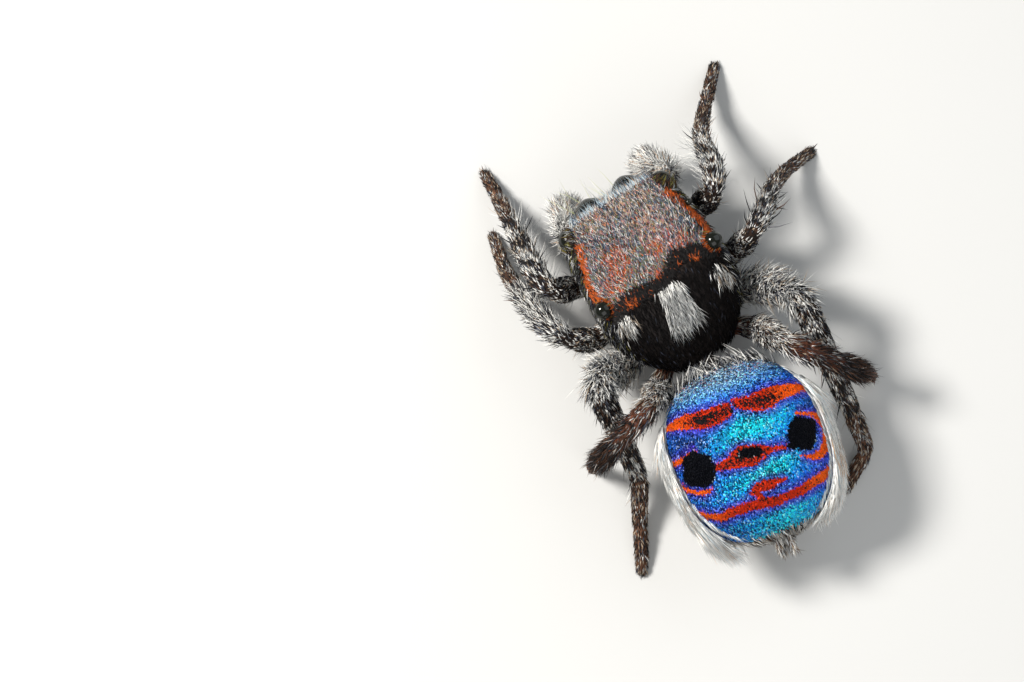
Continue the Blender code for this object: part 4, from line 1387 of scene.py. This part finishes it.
@dataclass
class AbdomenCoat:
    """Grows the shining scales, the crest and the hair of the belly, the margin and the rear end."""

    abdomen: Abdomen
    pattern: Pattern
    rng: np.random.Generator

    def scale_tint(self, points: Array, rng: np.random.Generator) -> Array:
        """Colours each scale by the pattern, with dark scales among the blue ones, and painted glints: blue
        scales made brighter or whitened to stand in for their sparkle.
        """
        a, b = self.pattern.plan(points)
        colour = self.pattern.colour(a, b, rng.random(len(points)))
        blue = (colour[:, 2] > 2.0 * colour[:, 0]) & (self.pattern.spots(a, b) < 0.01)
        glint_and_dark_draw = rng.random(len(points))
        murk = 0.33 + 0.18 * np.clip(ripple(points, 0.5, 31) + smooth(-a, 0.2, 0.7), -1, 1)
        # Painted glints: about a quarter of the blue scales get 1.6 to 3.6 times their colour, standing in
        # for light sparkling off them; all other scales are lifted by 1.12.
        painted_glint_gain = np.where(blue & (glint_and_dark_draw > 0.74), rng.uniform(1.6, 3.6, len(points)), 1.12)
        dim = np.where(blue & (glint_and_dark_draw < murk), rng.uniform(0.05, 0.4, len(points)), 1.0)
        colour = colour * (painted_glint_gain * dim * rng.uniform(0.8, 1.25, len(points)))[:, None]
        # Painted highlight: a few blue scales are whitened towards blue-white, standing in for white glints
        # of light on them.
        return np.clip(mix(colour, BLUEWHITE, np.where(blue & (glint_and_dark_draw > 0.93), 0.45, 0.0)), 0, 0.95)

    def on_plate(self, points: Array, normals: Array) -> Array:
        """Is the density of scales on the top and the upper sides."""
        return smooth(points[..., 2], 0.95, 1.1)

    def on_belly(self, points: Array, normals: Array) -> Array:
        """Is the density of the hair below the plate."""
        return 1 - smooth(points[..., 2], 0.95, 1.08)

    def on_crest(self, points: Array, normals: Array) -> Array:
        """Is the density of the bristles over the front edge."""
        place = self.abdomen.into(points)
        edge = smooth(place[..., 0] + 0.22 * place[..., 1] ** 2, 0.84, 0.98)
        return edge * (points[..., 2] > 0.9) * smooth(normals[..., 2], -0.3, 0.1)

    def on_front(self, points: Array, normals: Array) -> Array:
        """Is the density of the fine dust of hair on the front of the plate."""
        place = self.abdomen.into(points)
        return smooth(place[..., 0], 0.70, 0.92) * (points[..., 2] > 1.2) * (np.abs(place[..., 1]) < 0.75)

    def on_margin(self, points: Array, normals: Array) -> Array:
        """Is the density of the white line along the plate's side edges."""
        place = self.abdomen.into(points)
        rise = np.arctan2(points[..., 2] - self.abdomen.middle, np.abs(place[..., 1]))
        ends = smooth(0.80 - place[..., 0], 0, 0.1) * smooth(place[..., 0] + 0.9, 0, 0.15)
        return hump(rise, 0.27, 0.03, 0.04) * ends

    def on_rump(self, points: Array, normals: Array) -> Array:
        """Is the density of the hair on the rear end."""
        return smooth(-self.abdomen.into(points)[..., 0], 0.90, 1.00) * hump(points[..., 2], 1.0, 0.2, 0.1)

    def build(self, body: Sheet, tail: list[Sheet]) -> None:
        """Builds the abdomen's coat pieces.

        Args:
            body: The abdomen's surface.
            tail: The spinnerets.
        """
        back = heading((-1, 0, 0))
        for name in ("abdomen_scales", "abdomen_scales_over"):
            scales = Coat(name, "scales")
            scales.grow(body, PLATE_SCALE, 21000, self.on_plate, back, self.scale_tint, self.rng)
            scales.build(SCALE)
        frosty = tinted((WHITE, 0.24), (PALE, 0.14), (SLATE, 0.18), (BLACK, 0.44))
        dusty = tinted((SLATE, 0.3), (BLUEWHITE, 0.3), (BLACK, 0.3), (PINK, 0.1))
        sandy = tinted((TAN, 0.35), (PALE, 0.3), (WHITE, 0.2), (GREY, 0.15))
        snowy = tinted((SNOW, 0.5), (BLUEWHITE, 0.35), (SILVER, 0.15))
        ashen = tinted((WHITE, 0.26), (PALE, 0.28), (TAN, 0.16), (BROWN, 0.14), (BLACK, 0.16))
        rows = [
            (CREST_BRISTLE, 280, self.on_crest, heading((1, 0, 0.2)), frosty),
            (CREST_CURL, 800, self.on_crest, heading((1, 0, 0.1)), frosty),
            (DUST, 1200, self.on_front, back, dusty),
            (BELLY_HAIR, 2500, self.on_belly, back, sandy),
            (MARGIN_HAIR, 650, self.on_margin, back, snowy),
            (RUMP_HAIR, 600, self.on_rump, back, ashen),
        ]
        hair = Coat("abdomen_hair", "skin")
        hair.cover(body, rows, self.rng)
        for cone in tail:
            hair.grow(cone, TAIL_HAIR, 150, everywhere, back, ashen, self.rng)
        hair.build(HAIR)


@dataclass
class Fringe:
    """The long silky hairs of one flap of the fan, which lie back along it.

    Attributes:
        side: The flap's side.
        flap: Its surface.
        abdomen: The abdomen.
        reaches: Rear end of the hair's roots on each side.
        blushes: Weight of the peach hairs of the blush on each side.
    """

    side: Side
    flap: Sheet
    abdomen: Abdomen
    reaches: tuple[float, float] = (-0.74, -0.84)
    blushes: tuple[float, float] = (0.04, 0.60)

    def outer(self, points: Array, normals: Array) -> Array:
        """Is the density on the flap's outside and its upper rim."""
        place = self.abdomen.into(points)
        reach = self.reaches[self.side is Side.RIGHT]
        away = (normals[..., 1] * self.side.value > -0.15) | (normals[..., 2] > 0.4)
        along = smooth(place[..., 0], reach - 0.05, reach + 0.05) * (place[..., 0] < 0.56)
        return away * smooth(points[..., 2], 0.55, 0.75) * along

    def tail(self, points: Array, normals: Array) -> Array:
        """Is the density of the loose hairs that hang past the flap's rear end."""
        return self.outer(points, normals) * smooth(-0.36 - self.abdomen.into(points)[..., 0], 0, 0.1)

    def lie(self, points: Array, normals: Array) -> Array:
        """Points back, up from below and down from above, so that the hairs gather."""
        gather = 0.10 - 0.5 * (points[:, 2] - 1.1)
        return np.stack([0 * gather - 1, 0 * gather, gather], axis=-1)

    def tint(self, points: Array, rng: np.random.Generator) -> Array:
        """Colours the fringe snowy, with a blush of peach on its middle."""
        blush = self.blushes[self.side is Side.RIGHT]
        warm = 0.04 + blush * hump(self.abdomen.into(points)[:, 0], -0.21, 0.10, 0.2)
        shares = [(SNOW, 0.60), (WHITE, 0.20), (BLUEWHITE, 0.08), (PEACH, warm), (SILVER, 0.10)]
        return palette(len(points), rng, *shares)

    def build(self, rng: np.random.Generator) -> None:
        """Builds the fringe."""
        rows = [
            (FRINGE_HAIR, 4300, self.outer, self.lie, self.tint),
            (FRINGE_LOOSE[self.side], 700, self.tail, self.lie, self.tint),
            (FRINGE_SHORT, 1600, self.outer, self.lie, self.tint),
        ]
        coat = Coat(f"fan_fringe_{self.side.word}", "fan")
        coat.cover(self.flap, rows, rng)
        coat.build(SILK)


# Legs, feelers and jaws


# Where each pair of legs starts, and its hip, on the right side of the head's own frame
BASES = {1: (1.34, 0.42, 0.42), 2: (0.86, 0.42, 0.42), 3: (0.52, 0.42, 0.42), 4: (0.18, 0.40, 0.42)}
HIPS = {1: (1.52, 0.87, 0.43), 2: (0.87, 0.96, 0.44), 3: (0.42, 0.90, 0.46), 4: (-0.02, 0.66, 0.56)}
# Knee, end of the shin, ankle and tip of each leg, as on the right side of the body
JOINTS = {
    (1, "left"): ((1.47, 1.21, 1.00), (2.44, 1.23, 0.42), (2.78, 1.23, 0.18), (3.11, 1.24, 0.0)),
    (1, "right"): ((1.62, 0.98, 1.05), (2.25, 1.10, 0.70), (2.56, 1.28, 0.35), (3.02, 1.62, 0.0)),
    (2, "left"): ((0.92, 1.33, 0.94), (1.71, 1.52, 0.50), (2.02, 1.53, 0.27), (2.42, 1.48, 0.0)),
    (2, "right"): ((0.98, 1.19, 1.00), (1.35, 1.54, 0.70), (1.53, 1.80, 0.35), (1.65, 2.13, 0.0)),
    (3, "left"): ((0.17, 1.17, 1.08), (-0.85, 1.25, 0.42), (-1.21, 1.44, 0.20), (-1.71, 1.68, 0.0)),
    (3, "right"): ((0.03, 1.21, 1.06), (-1.30, 1.19, 0.42), (-1.70, 1.16, 0.18), (-1.93, 0.80, 0.0)),
    (4, "left"): ((-0.38, 0.84, 1.36), (-0.58, 1.60, 0.86), (-0.52, 1.65, 0.45), (-0.44, 1.65, 0.0)),
    (4, "right"): ((-0.48, 0.92, 1.36), (-1.03, 1.48, 0.90), (-1.02, 1.56, 0.45), (-0.95, 1.58, 0.0)),
}
# Radius of each pair of legs before the stations' shares
GIRTHS = {1: 0.155, 2: 0.150, 3: 0.165, 4: 0.150}


@dataclass
class Limb:
    """A leg's line, the lengths of its joints and its skin."""

    number: Leg
    side: Side
    route: Route
    knee: float
    ankle: float
    sheet: Sheet

    @property
    def total(self) -> float:
        """The leg's whole length."""
        return float(self.route.along[-1])

    def share(self, points: Array) -> Array:
        """Gives the length along the leg nearest to each place, in mm."""
        lengths = np.linspace(0, self.total, 90)
        places = points.reshape(-1, 1, 3)
        away = ((places - self.route.at(lengths)) ** 2).sum(axis=-1)
        return lengths[away.argmin(axis=1)].reshape(points.shape[:-1])

    def onward(self, points: Array, normals: Array) -> Array:
        """Points towards the leg's tip."""
        return self.route.heading(self.share(points))

    def tone(self, points: Array, rng: np.random.Generator) -> Array:
        """Colours the bare skin: dark, browner towards the foot, reddish on the last leg."""
        s = self.share(points)
        base = MAROON if self.number is Leg.FOURTH else 0.5 * BROWN
        colour = mix(base, 1.2 * BROWN, smooth(s, self.ankle - 0.1, self.ankle + 0.2))
        return mix(colour, CHITIN, 0.8 * bell(s, self.knee, 0.10))

    def claws(self) -> list[Sheet]:
        """Builds the foot's two hooked claws."""
        ends = np.array([self.total])
        tip, way = self.route.at(ends)[0], self.route.heading(ends)[0]
        level = unit(way * (1, 1, 0))
        out = np.cross(level, UP)
        sheets = []
        for side in Side:
            start = tip + 0.018 * side.value * out
            middle = start + 0.055 * level + 0.018 * UP
            end = np.append((start + 0.075 * level + 0.01 * side.value * out)[:2], 0.004)
            hook = Route(rounded([start, middle, end], 0.03))
            sheets.append(hook.cone("claw", 0.011, 0.0011, 8, 0.008))
        return sheets


@dataclass(frozen=True)
class Legs:
    """The build that all eight legs share.

    Attributes:
        knee_length: Length of the short stretch at the knee.
        tip_girth: Girth of the tip as a share of the leg's.
        sole: How far the tip's round end is let into the floor's flat.
        inset: Depth of the skin inside its coat.
    """

    knee_length: float = 0.26
    tip_girth: float = 0.42
    sole: float = 0.03
    inset: float = 0.016

    def limb(self, number: Leg, side: Side) -> Limb:
        """Builds one leg.

        The girth runs through stations, and is drawn in at each joint by a narrow dip.

        Args:
            number: The leg's pair.
            side: Its side.

        Returns:
            The leg.
        """
        n = number.value
        base, hip = (HEAD.out(np.array(places[n]) * side.mirror) for places in (BASES, HIPS))
        knee, shin, ankle, tip = (np.array(place) * side.mirror for place in JOINTS[n, side.word])
        level = np.linalg.norm((tip - ankle)[:2]) / np.linalg.norm(tip - ankle)
        tip[2] = level * self.tip_girth * GIRTHS[n] - self.sole + 0.012
        across = unit(knee - hip) + unit(shin - knee)
        across *= 0.5 * self.knee_length / np.linalg.norm(across)
        route = Route(rounded([base, hip, knee - across, knee + across, shin, ankle, tip], 0.14))
        start, end, total = route.nearest(knee - across), route.nearest(shin), float(route.along[-1])
        stations = (0, 0.25 * start, 0.7 * start, start, start + 0.2, 0.5 * (start + end), end, total)
        shares = (0.72, 0.80, 0.97, 0.74, 0.86, 0.82, 0.64, self.tip_girth)
        pinches = (0.22 * start, start, start + self.knee_length, end, end + 0.55 * (total - end))

        def widths(s: Array) -> Array:
            radius = GIRTHS[n] * curve(s, stations, shares) - self.inset * (1 - 0.5 * s / total)
            for pinch in pinches:
                radius = radius * (1 - 0.13 * bell(s, pinch, 0.035))
            return radius

        return Limb(number, side, route, start, end, route.tube(f"leg_{n}_{side.word}", widths, 22, 0.025))


@dataclass
class LegCoat:
    """Grows one leg's scales, hairs, spines and, where its pair has them, shag, locks and a brush."""

    limb: Limb

    def tint(self, points: Array, rng: np.random.Generator) -> Array:
        """Colours the scales: black and white in streaky blotches, browner on the foot."""
        limb, fourth = self.limb, self.limb.number is Leg.FOURTH
        s, way = limb.share(points), limb.onward(points, points)
        foot = smooth(s, limb.ankle - 0.2, limb.ankle + 0.15)
        shin = fourth * smooth(s, limb.knee - 0.05, limb.knee + 0.1)
        streak = points - 0.6 * way * (points * way).sum(axis=-1, keepdims=True)
        ring = np.clip(2.6 * ripple(streak, 0.13, 20 + limb.number.value), -1, 1)
        white = (0.22 + 0.22 * ring) * (1 - 0.7 * foot) * (1 - 0.8 * shin)
        shares = [
            (BLACK, 0.50 - 0.44 * ring),
            (SLATE, 0.12),
            (SILVER, 0.12 + 0.09 * ring),
            (WHITE, np.maximum(white, 0.01)),
            (MAROON if fourth else BROWN, 0.05 + 0.9 * shin + 0.5 * foot),
            (TAN, 0.08 + 0.16 * foot),
        ]
        return palette(len(points), rng, *shares)

    def between(self, low: float, high: float) -> Field:
        """Gives a density of one over a stretch of the leg."""
        middle, half = 0.5 * (low + high), 0.5 * (high - low)
        return lambda points, normals: hump(self.limb.share(points), middle, half, 0.1)

    def inwards(self, normals: Array, low: float, high: float) -> Array:
        """Tells how far normals face the body."""
        return smooth(-self.limb.side.value * normals[..., 1], low, high)

    def covered(self, points: Array, normals: Array) -> Array:
        """Is the density of the scales, thin on the knees in front and on the last leg's shin."""
        limb = self.limb
        s = limb.share(points)
        bare = 0.9 * (limb.number in (Leg.FIRST, Leg.SECOND)) * bell(s, limb.knee - 0.02, 0.07)
        thin = 0.35 * (limb.number is Leg.FOURTH) * smooth(s, limb.knee, limb.knee + 0.2)
        foot = 0.3 * smooth(s, limb.ankle, limb.total)
        return smooth(s, 0.05, 0.4) * (1 - bare) * (1 - foot) * (1 - thin)

    def inner(self, points: Array, normals: Array) -> Array:
        """Is the density of the floss on the inner side of the shin."""
        stretch = self.between(self.limb.knee, self.limb.ankle)
        return stretch(points, normals) * self.inwards(normals, 0.2, 0.5)

    def thigh(self, points: Array, normals: Array) -> Array:
        """Is the density of the skirt on the inner and lower side of the thigh."""
        stretch = self.between(0.15, self.limb.knee + 0.3)
        low = smooth(0.6 - normals[..., 2], 0, 0.3)
        return stretch(points, normals) * self.inwards(normals, 0.0, 0.4) * low

    def upper(self, points: Array, normals: Array) -> Array:
        """Is the density of the comb on top of the shin."""
        stretch = self.between(self.limb.knee + 0.3, self.limb.ankle - 0.02)
        return stretch(points, normals) * smooth(normals[..., 2], 0.1, 0.5)

    def rows(self) -> list[tuple]:
        """Lists the kinds of hair in growing order: kind, count, density and marking."""
        knee, ankle = self.limb.knee, self.limb.ankle
        pale = tinted((SILVER, 0.35), (WHITE, 0.35), (TAN, 0.15), (SLATE, 0.15))
        dark = tinted((BLACK, 0.66), (BROWN, 0.28), (GREY, 0.06))
        clear = tinted((WHITE, 0.5), (SILVER, 0.5))
        frosty = tinted((WHITE, 0.38), (SILVER, 0.20), (SLATE, 0.16), (BLACK, 0.26))
        silky = tinted((WHITE, 0.30), (SILVER, 0.16), (TAN, 0.18), (BROWN, 0.16), (BLACK, 0.20))
        dusky = tinted((BLACK, 0.5), (SLATE, 0.2), (WHITE, 0.3))
        rows = [
            (LEG_SCALE, round(2100 * self.limb.total), self.covered, self.tint),
            (LEG_HAIR, 90, self.between(0.3, ankle + 0.3), pale),
            (LEG_SPINE, 14, self.between(knee, ankle), dark),
        ]
        fluff = [(FLUFF, 700, self.between(knee, ankle - 0.1), frosty)]
        extra = {
            Leg.FIRST: [(FLOSS, 70, self.inner, clear)],
            Leg.SECOND: fluff if self.limb.side is Side.LEFT else [],
            Leg.THIRD: [
                (SHAG, 950, self.between(0.25, knee + 0.15), pale),
                (SHAG_CURL, 2300, self.between(0.1, knee + 0.25), frosty),
            ],
            Leg.FOURTH: [
                (LOCK, 1300, self.between(0.1, knee + 0.1), silky),
                (SKIRT, 420, self.thigh, dusky),
                (BRUSH, 650, self.between(ankle - 0.36, ankle - 0.02), dark),
                (COMB, 150, self.upper, dark),
            ],
        }
        return rows + extra[self.limb.number]

    def grow(self, coat: Coat, rng: np.random.Generator) -> None:
        """Grows the leg's hairs into a coat."""
        for strand, count, where, marking in self.rows():
            coat.grow(self.limb.sheet, strand, count, where, self.limb.onward, marking, rng)


# Base and bends of each feeler, then its tip, as on the right side of the head's own frame
FEELERS = {
    Side.LEFT: ((1.66, 0.42, 0.56), (1.91, 0.62, 0.58), (2.02, 0.63, 0.84), (2.19, 0.45, 0.90)),
    Side.RIGHT: ((1.66, 0.42, 0.56), (1.88, 0.71, 0.58), (1.98, 0.80, 0.84), (2.16, 0.63, 0.90)),
}
FEELER_TIPS = {Side.LEFT: (2.25, 0.42, 0.42), Side.RIGHT: (2.21, 0.58, 0.42)}


@dataclass
class Mouth:
    """The two feelers with their shaggy brushes, the jaws and the fangs.

    Attributes:
        jaw_top: Top of the right jaw, in the head's own frame.
        jaw_tip: Its lower end.
        hook: Steps from the jaw's end to the fang's root, bend and tip.
    """

    jaw_top: tuple = (1.86, 0.165, 0.725)
    jaw_tip: tuple = (1.98, 0.130, 0.270)
    hook: tuple = ((0, 0.02, 0.06), (0.0, 0.0, -0.005), (-0.05, -0.09, 0.01))

    def feeler(self, side: Side) -> Sheet:
        """Builds a feeler: a thin arm that widens into a hanging brush."""
        joints = [HEAD.out(np.array(place) * side.mirror) for place in (*FEELERS[side], FEELER_TIPS[side])]
        route = Route(rounded(joints, 0.10))
        total, elbow = float(route.along[-1]), route.nearest(0.5 * (joints[2] + joints[3]))
        stations = (0, 0.9 * elbow, elbow + 0.08, elbow + 0.25, 0.5 * (elbow + total) + 0.08, total)
        shares = (0.060, 0.055, 0.085, 0.115, 0.105, 0.035)
        return route.tube(f"feeler_{side.word}", lambda s: curve(s, stations, shares))

    def jaw(self, side: Side) -> Sheet:
        """Builds a jaw: a stout cone that hangs under the face."""
        top, tip = (HEAD.out(np.array(place) * side.mirror) for place in (self.jaw_top, self.jaw_tip))
        tip = tip + 0.06 * UP
        route = Route(rounded([top + 0.06 * UP, 0.5 * (top + tip) + (0.05, 0, 0), tip], 0.15))
        total = float(route.along[-1])
        stations = (0, 0.2 * total, 0.6 * total, 0.88 * total, total)
        girths = (0.09, 0.122, 0.115, 0.075, 0.04)
        return route.tube(f"jaw_{side.word}", lambda s: curve(s, stations, girths), 28)

    def fang(self, side: Side) -> None:
        """Builds a fang: a thin hook that folds inwards under its jaw."""
        joints = [HEAD.out((np.array(self.jaw_tip) + step) * side.mirror) for step in self.hook]
        sheet = Route(rounded(joints, 0.04)).cone("fang", 0.026, 0.0026, 12, 0.012)
        piece = add_mesh(f"fang_{side.word}", *joined([sheet]))
        dress(piece, CLAW, "skin")
        LOG.info("%s", piece.name)

    def brush(self, points: Array, normals: Array) -> Array:
        """Is the density of the feelers' fluff, thicker above."""
        return 0.25 + smooth(points[..., 2], 0.5, 0.8)

    def crown(self, points: Array, normals: Array) -> Array:
        """Is the density of the short hairs on top of a feeler."""
        return smooth(points[..., 2], 0.78, 0.88) * smooth(normals[..., 2], -0.2, 0.3)

    def coat(self, feelers: dict[Side, Sheet], jaws: dict[Side, Sheet], rng: np.random.Generator) -> None:
        """Builds the feelers' fluff and the jaws' sparse hairs as one piece."""
        fluffy = tinted((SNOW, 0.50), (SILVER, 0.22), (SLATE, 0.12), (PEACH, 0.06), (BLACK, 0.10))
        coat = Coat("feeler_hair", "feeler")
        for side in Side:
            outwards = heading((0.75, -0.45 * side.value, -0.65), True)
            over = heading((0.3, -0.6 * side.value, 0), True)
            rows = [
                (FEELER_BRUSH, 3000, self.brush, outwards, fluffy),
                (FEELER_CROWN, 900, self.crown, over, fluffy),
            ]
            coat.cover(feelers[side], rows, rng)
            coat.grow(jaws[side], JAW_HAIR, 420, everywhere, heading((0.1, 0, -1), True), fluffy, rng)
        coat.build(HAIR)


# Eyes


@dataclass(frozen=True)
class Eye:
    """An eye: a ball with a slightly domed lens."""

    kind: str
    side: Side

    def build(self) -> None:
        """Builds the eye: p(a, e) = c + r (1 + 0.05 cos^12 e) (cos e axis + sin e ring), e from the axis."""
        centre, radius = eye_centre(self.kind, self.side), EYES[self.kind].radius
        axis = unit(HEAD.heading(np.array(EYES[self.kind].axis) * self.side.mirror))
        side = unit(np.cross(axis, UP))
        up = np.cross(side, axis)
        e = np.linspace(0.02, math.pi - 0.02, 41)[:, None, None]
        a = np.linspace(0, 2 * math.pi, 56, endpoint=False)[None, :, None]
        reach = 0.985 * radius * (1 + 0.05 * np.maximum(np.cos(e), 0) ** 12)
        grid = centre + reach * (np.cos(e) * axis + np.sin(e) * (np.cos(a) * side + np.sin(a) * up))
        piece = add_mesh(f"lens_{self.kind}_{self.side.word}", *joined([Sheet("eye", grid)]))
        dress(piece, LENS, "eye")
        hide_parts(f"eye_{self.kind}_{self.side.word}")
        LOG.info("%s", piece.name)


# The whole


@dataclass
class Spider:
    """The whole animal: one skin over every limb, with its coats, eyes, claws and fangs."""

    head: Head = field(default_factory=Head)
    abdomen: Abdomen = field(default_factory=Abdomen)
    legs: Legs = field(default_factory=Legs)
    mouth: Mouth = field(default_factory=Mouth)
    seed: int = 20

    def build(self) -> None:
        """Builds every piece in order, and each reports itself."""
        shell, body, tail = self.head.shell(), self.abdomen.body(), self.abdomen.spinnerets()
        flaps = {side: self.abdomen.flap(side) for side in Side}
        feelers = {side: self.mouth.feeler(side) for side in Side}
        jaws = {side: self.mouth.jaw(side) for side in Side}
        limbs = [self.legs.limb(number, side) for number in Leg for side in Side]
        waist = Route(np.array([[0.1, 0.0, 0.82], [-0.4, 0.0, 0.84]])).cone("waist", 0.10, 0.10, 24, 0.02)
        pattern = Pattern(self.abdomen)
        parts = [(shell, self.head.tone), (self.head.breast(), flat(CHITIN)), (body, pattern.tone)]
        parts += [(waist, flat(CHITIN))]
        parts += [(flap, flat(PALE)) for flap in flaps.values()]
        parts += [(cone, flat(BROWN)) for cone in tail]
        parts += [(feeler, flat(GREY)) for feeler in feelers.values()]
        parts += [(jaw, flat(BROWN)) for jaw in jaws.values()]
        parts += [(limb.sheet, limb.tone) for limb in limbs]
        self.skin(parts)
        for kind in EYES:
            for side in Side:
                Eye(kind, side).build()
        rng = np.random.default_rng(self.seed)
        HeadCoat(self.head, shell, rng).build()
        AbdomenCoat(self.abdomen, pattern, rng).build(body, tail)
        for side in Side:
            Fringe(side, flaps[side], self.abdomen).build(rng)
        self.mouth.coat(feelers, jaws, rng)
        for side in Side:
            self.mouth.fang(side)
        for number in Leg:
            coat = Coat(f"leg_hair_{number.value}", "leg")
            for limb in limbs:
                if limb.number is number:
                    LegCoat(limb).grow(coat, rng)
            coat.build(HAIR)
        claws = add_mesh("claws", *joined([claw for limb in limbs for claw in limb.claws()]))
        dress(claws, CLAW, "leg")
        LOG.info("claws")

    def skin(self, parts: list[tuple[Sheet, Marking]]) -> None:
        """Joins every surface into the one skin, which stands for all nodes but the eyes.

        Args:
            parts: Surfaces with the marking of each.
        """
        rng = np.random.default_rng(self.seed)
        for cell, (sheet, _) in enumerate(parts):
            sheet.cell = cell
        tints = [marking(sheet.points.reshape(-1, 3), rng) for sheet, marking in parts]
        piece = add_mesh("skin", *joined([sheet for sheet, _ in parts]), np.concatenate(tints))
        dress(piece, SKIN, "skin")
        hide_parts(*[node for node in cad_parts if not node.startswith("eye_")])
        LOG.info("skin: %d faces", len(piece.data.polygons))


# Studio


def set_up(name: str, data: bpy.types.ID, up: Array, back: Array, place: Array) -> bpy.types.Object:
    """Makes a camera or a lamp that looks against the direction back, with its top to up."""
    thing = bpy.data.objects.new(name, data)
    matrix = np.eye(4)
    matrix[:3] = np.stack([np.cross(up, back), up, back, place], axis=-1)
    thing.matrix_world = [tuple(row) for row in matrix.T]
    bpy.context.scene.collection.objects.link(thing)
    return thing


@dataclass(frozen=True)
class Studio:
    """The plain floor, the soft lights and the camera, in mm.

    Attributes:
        pixels: Pixels for each mm of the body in the picture.
        elevation: Height of the view over the horizon, in degrees.
        roll: Picture direction of the body's forward, in degrees left of up.
        origin: Picture place of the waist at the target's height.
        height: Height of the target.
        size: Width and height of the picture, in pixels.
        distance: Distance of the camera.
        sensor: Width of the camera's sensor.
        floor: Half of the floor's width.
        lamps: Each lamp's name, place, size, power in watts and colour.
    """

    pixels: float = 90.0
    elevation: float = 78.0
    roll: float = 27.0
    origin: tuple[float, float] = (702.0, 352.0)
    height: float = 0.9
    size: tuple[float, float] = (1024.0, 682.0)
    distance: float = 60.0
    sensor: float = 36.0
    floor: float = 150.0
    lamps: tuple = (
        ("key", (16, -20, 34), 12, 0.031, (1.0, 0.97, 0.93)),
        ("fill", (4, 30, 22), 40, 0.007, (0.90, 0.95, 1.0)),
        ("rear", (-30, -6, 24), 34, 0.007, (1.0, 1.0, 1.0)),
    )

    def camera(self) -> None:
        """Sets the camera: its rolled axes come from the elevation and the roll."""
        lean, roll = math.radians(self.elevation), math.radians(self.roll)
        ahead = np.array([0, -math.sin(lean), math.cos(lean)])
        right = np.array([-1.0, 0, 0])
        back = np.cross(right, ahead)
        across = math.cos(roll) * right - math.sin(roll) * ahead
        up = math.sin(roll) * right + math.cos(roll) * ahead
        shift = (0.5 * np.array(self.size) - self.origin) / self.pixels * METRES
        target = PLACING.world(self.height * UP) + shift[0] * across - shift[1] * up
        data = bpy.data.cameras.new("camera")
        data.sensor_width = self.sensor
        data.lens = self.pixels * self.distance * self.sensor / self.size[0]
        data.clip_start, data.clip_end = 0.0005, 10
        place = target + back * self.distance * METRES
        bpy.context.scene.camera = set_up("camera", data, up, back, place)

    def lamp(self, name: str, place: tuple, size: float, power: float, colour: tuple) -> None:
        """Adds a square area lamp that faces the body."""
        data = bpy.data.lights.new(name, "AREA")
        data.size, data.energy, data.color = size * METRES, power, colour
        where = PLACING.world(place)
        back = unit(where - PLACING.world(0.8 * UP))
        right = unit(np.cross((0.0, 1.0, 0.01), back))
        set_up(name, data, np.cross(back, right), back, where)

    def build(self) -> None:
        """Builds the floor, the lamps, the plain surroundings and the camera."""
        self.camera()
        half, down = self.floor, -PLACING.shift[2] / METRES
        corners = [(-half, -half, down), (-half, half, down), (half, half, down), (half, -half, down)]
        floor = add_mesh("floor", np.array(corners), np.array([[0, 1, 2, 3]]), lowest=0.0)
        floor.data.materials.append(FLOOR.material())
        for lamp in self.lamps:
            self.lamp(*lamp)
        world = bpy.data.worlds.new("studio")
        world.use_nodes = True
        world.node_tree.nodes["Background"].inputs["Color"].default_value = (0.80, 0.82, 0.84, 1)
        world.node_tree.nodes["Background"].inputs["Strength"].default_value = 0.28
        bpy.context.scene.world = world
        bpy.context.scene.view_settings.view_transform = "Standard"


def main() -> None:
    """Builds the spider and its studio."""
    logging.basicConfig(level=logging.INFO, format="%(message)s")
    Spider().build()
    Studio().build()


if __name__ == "__main__":
    main()
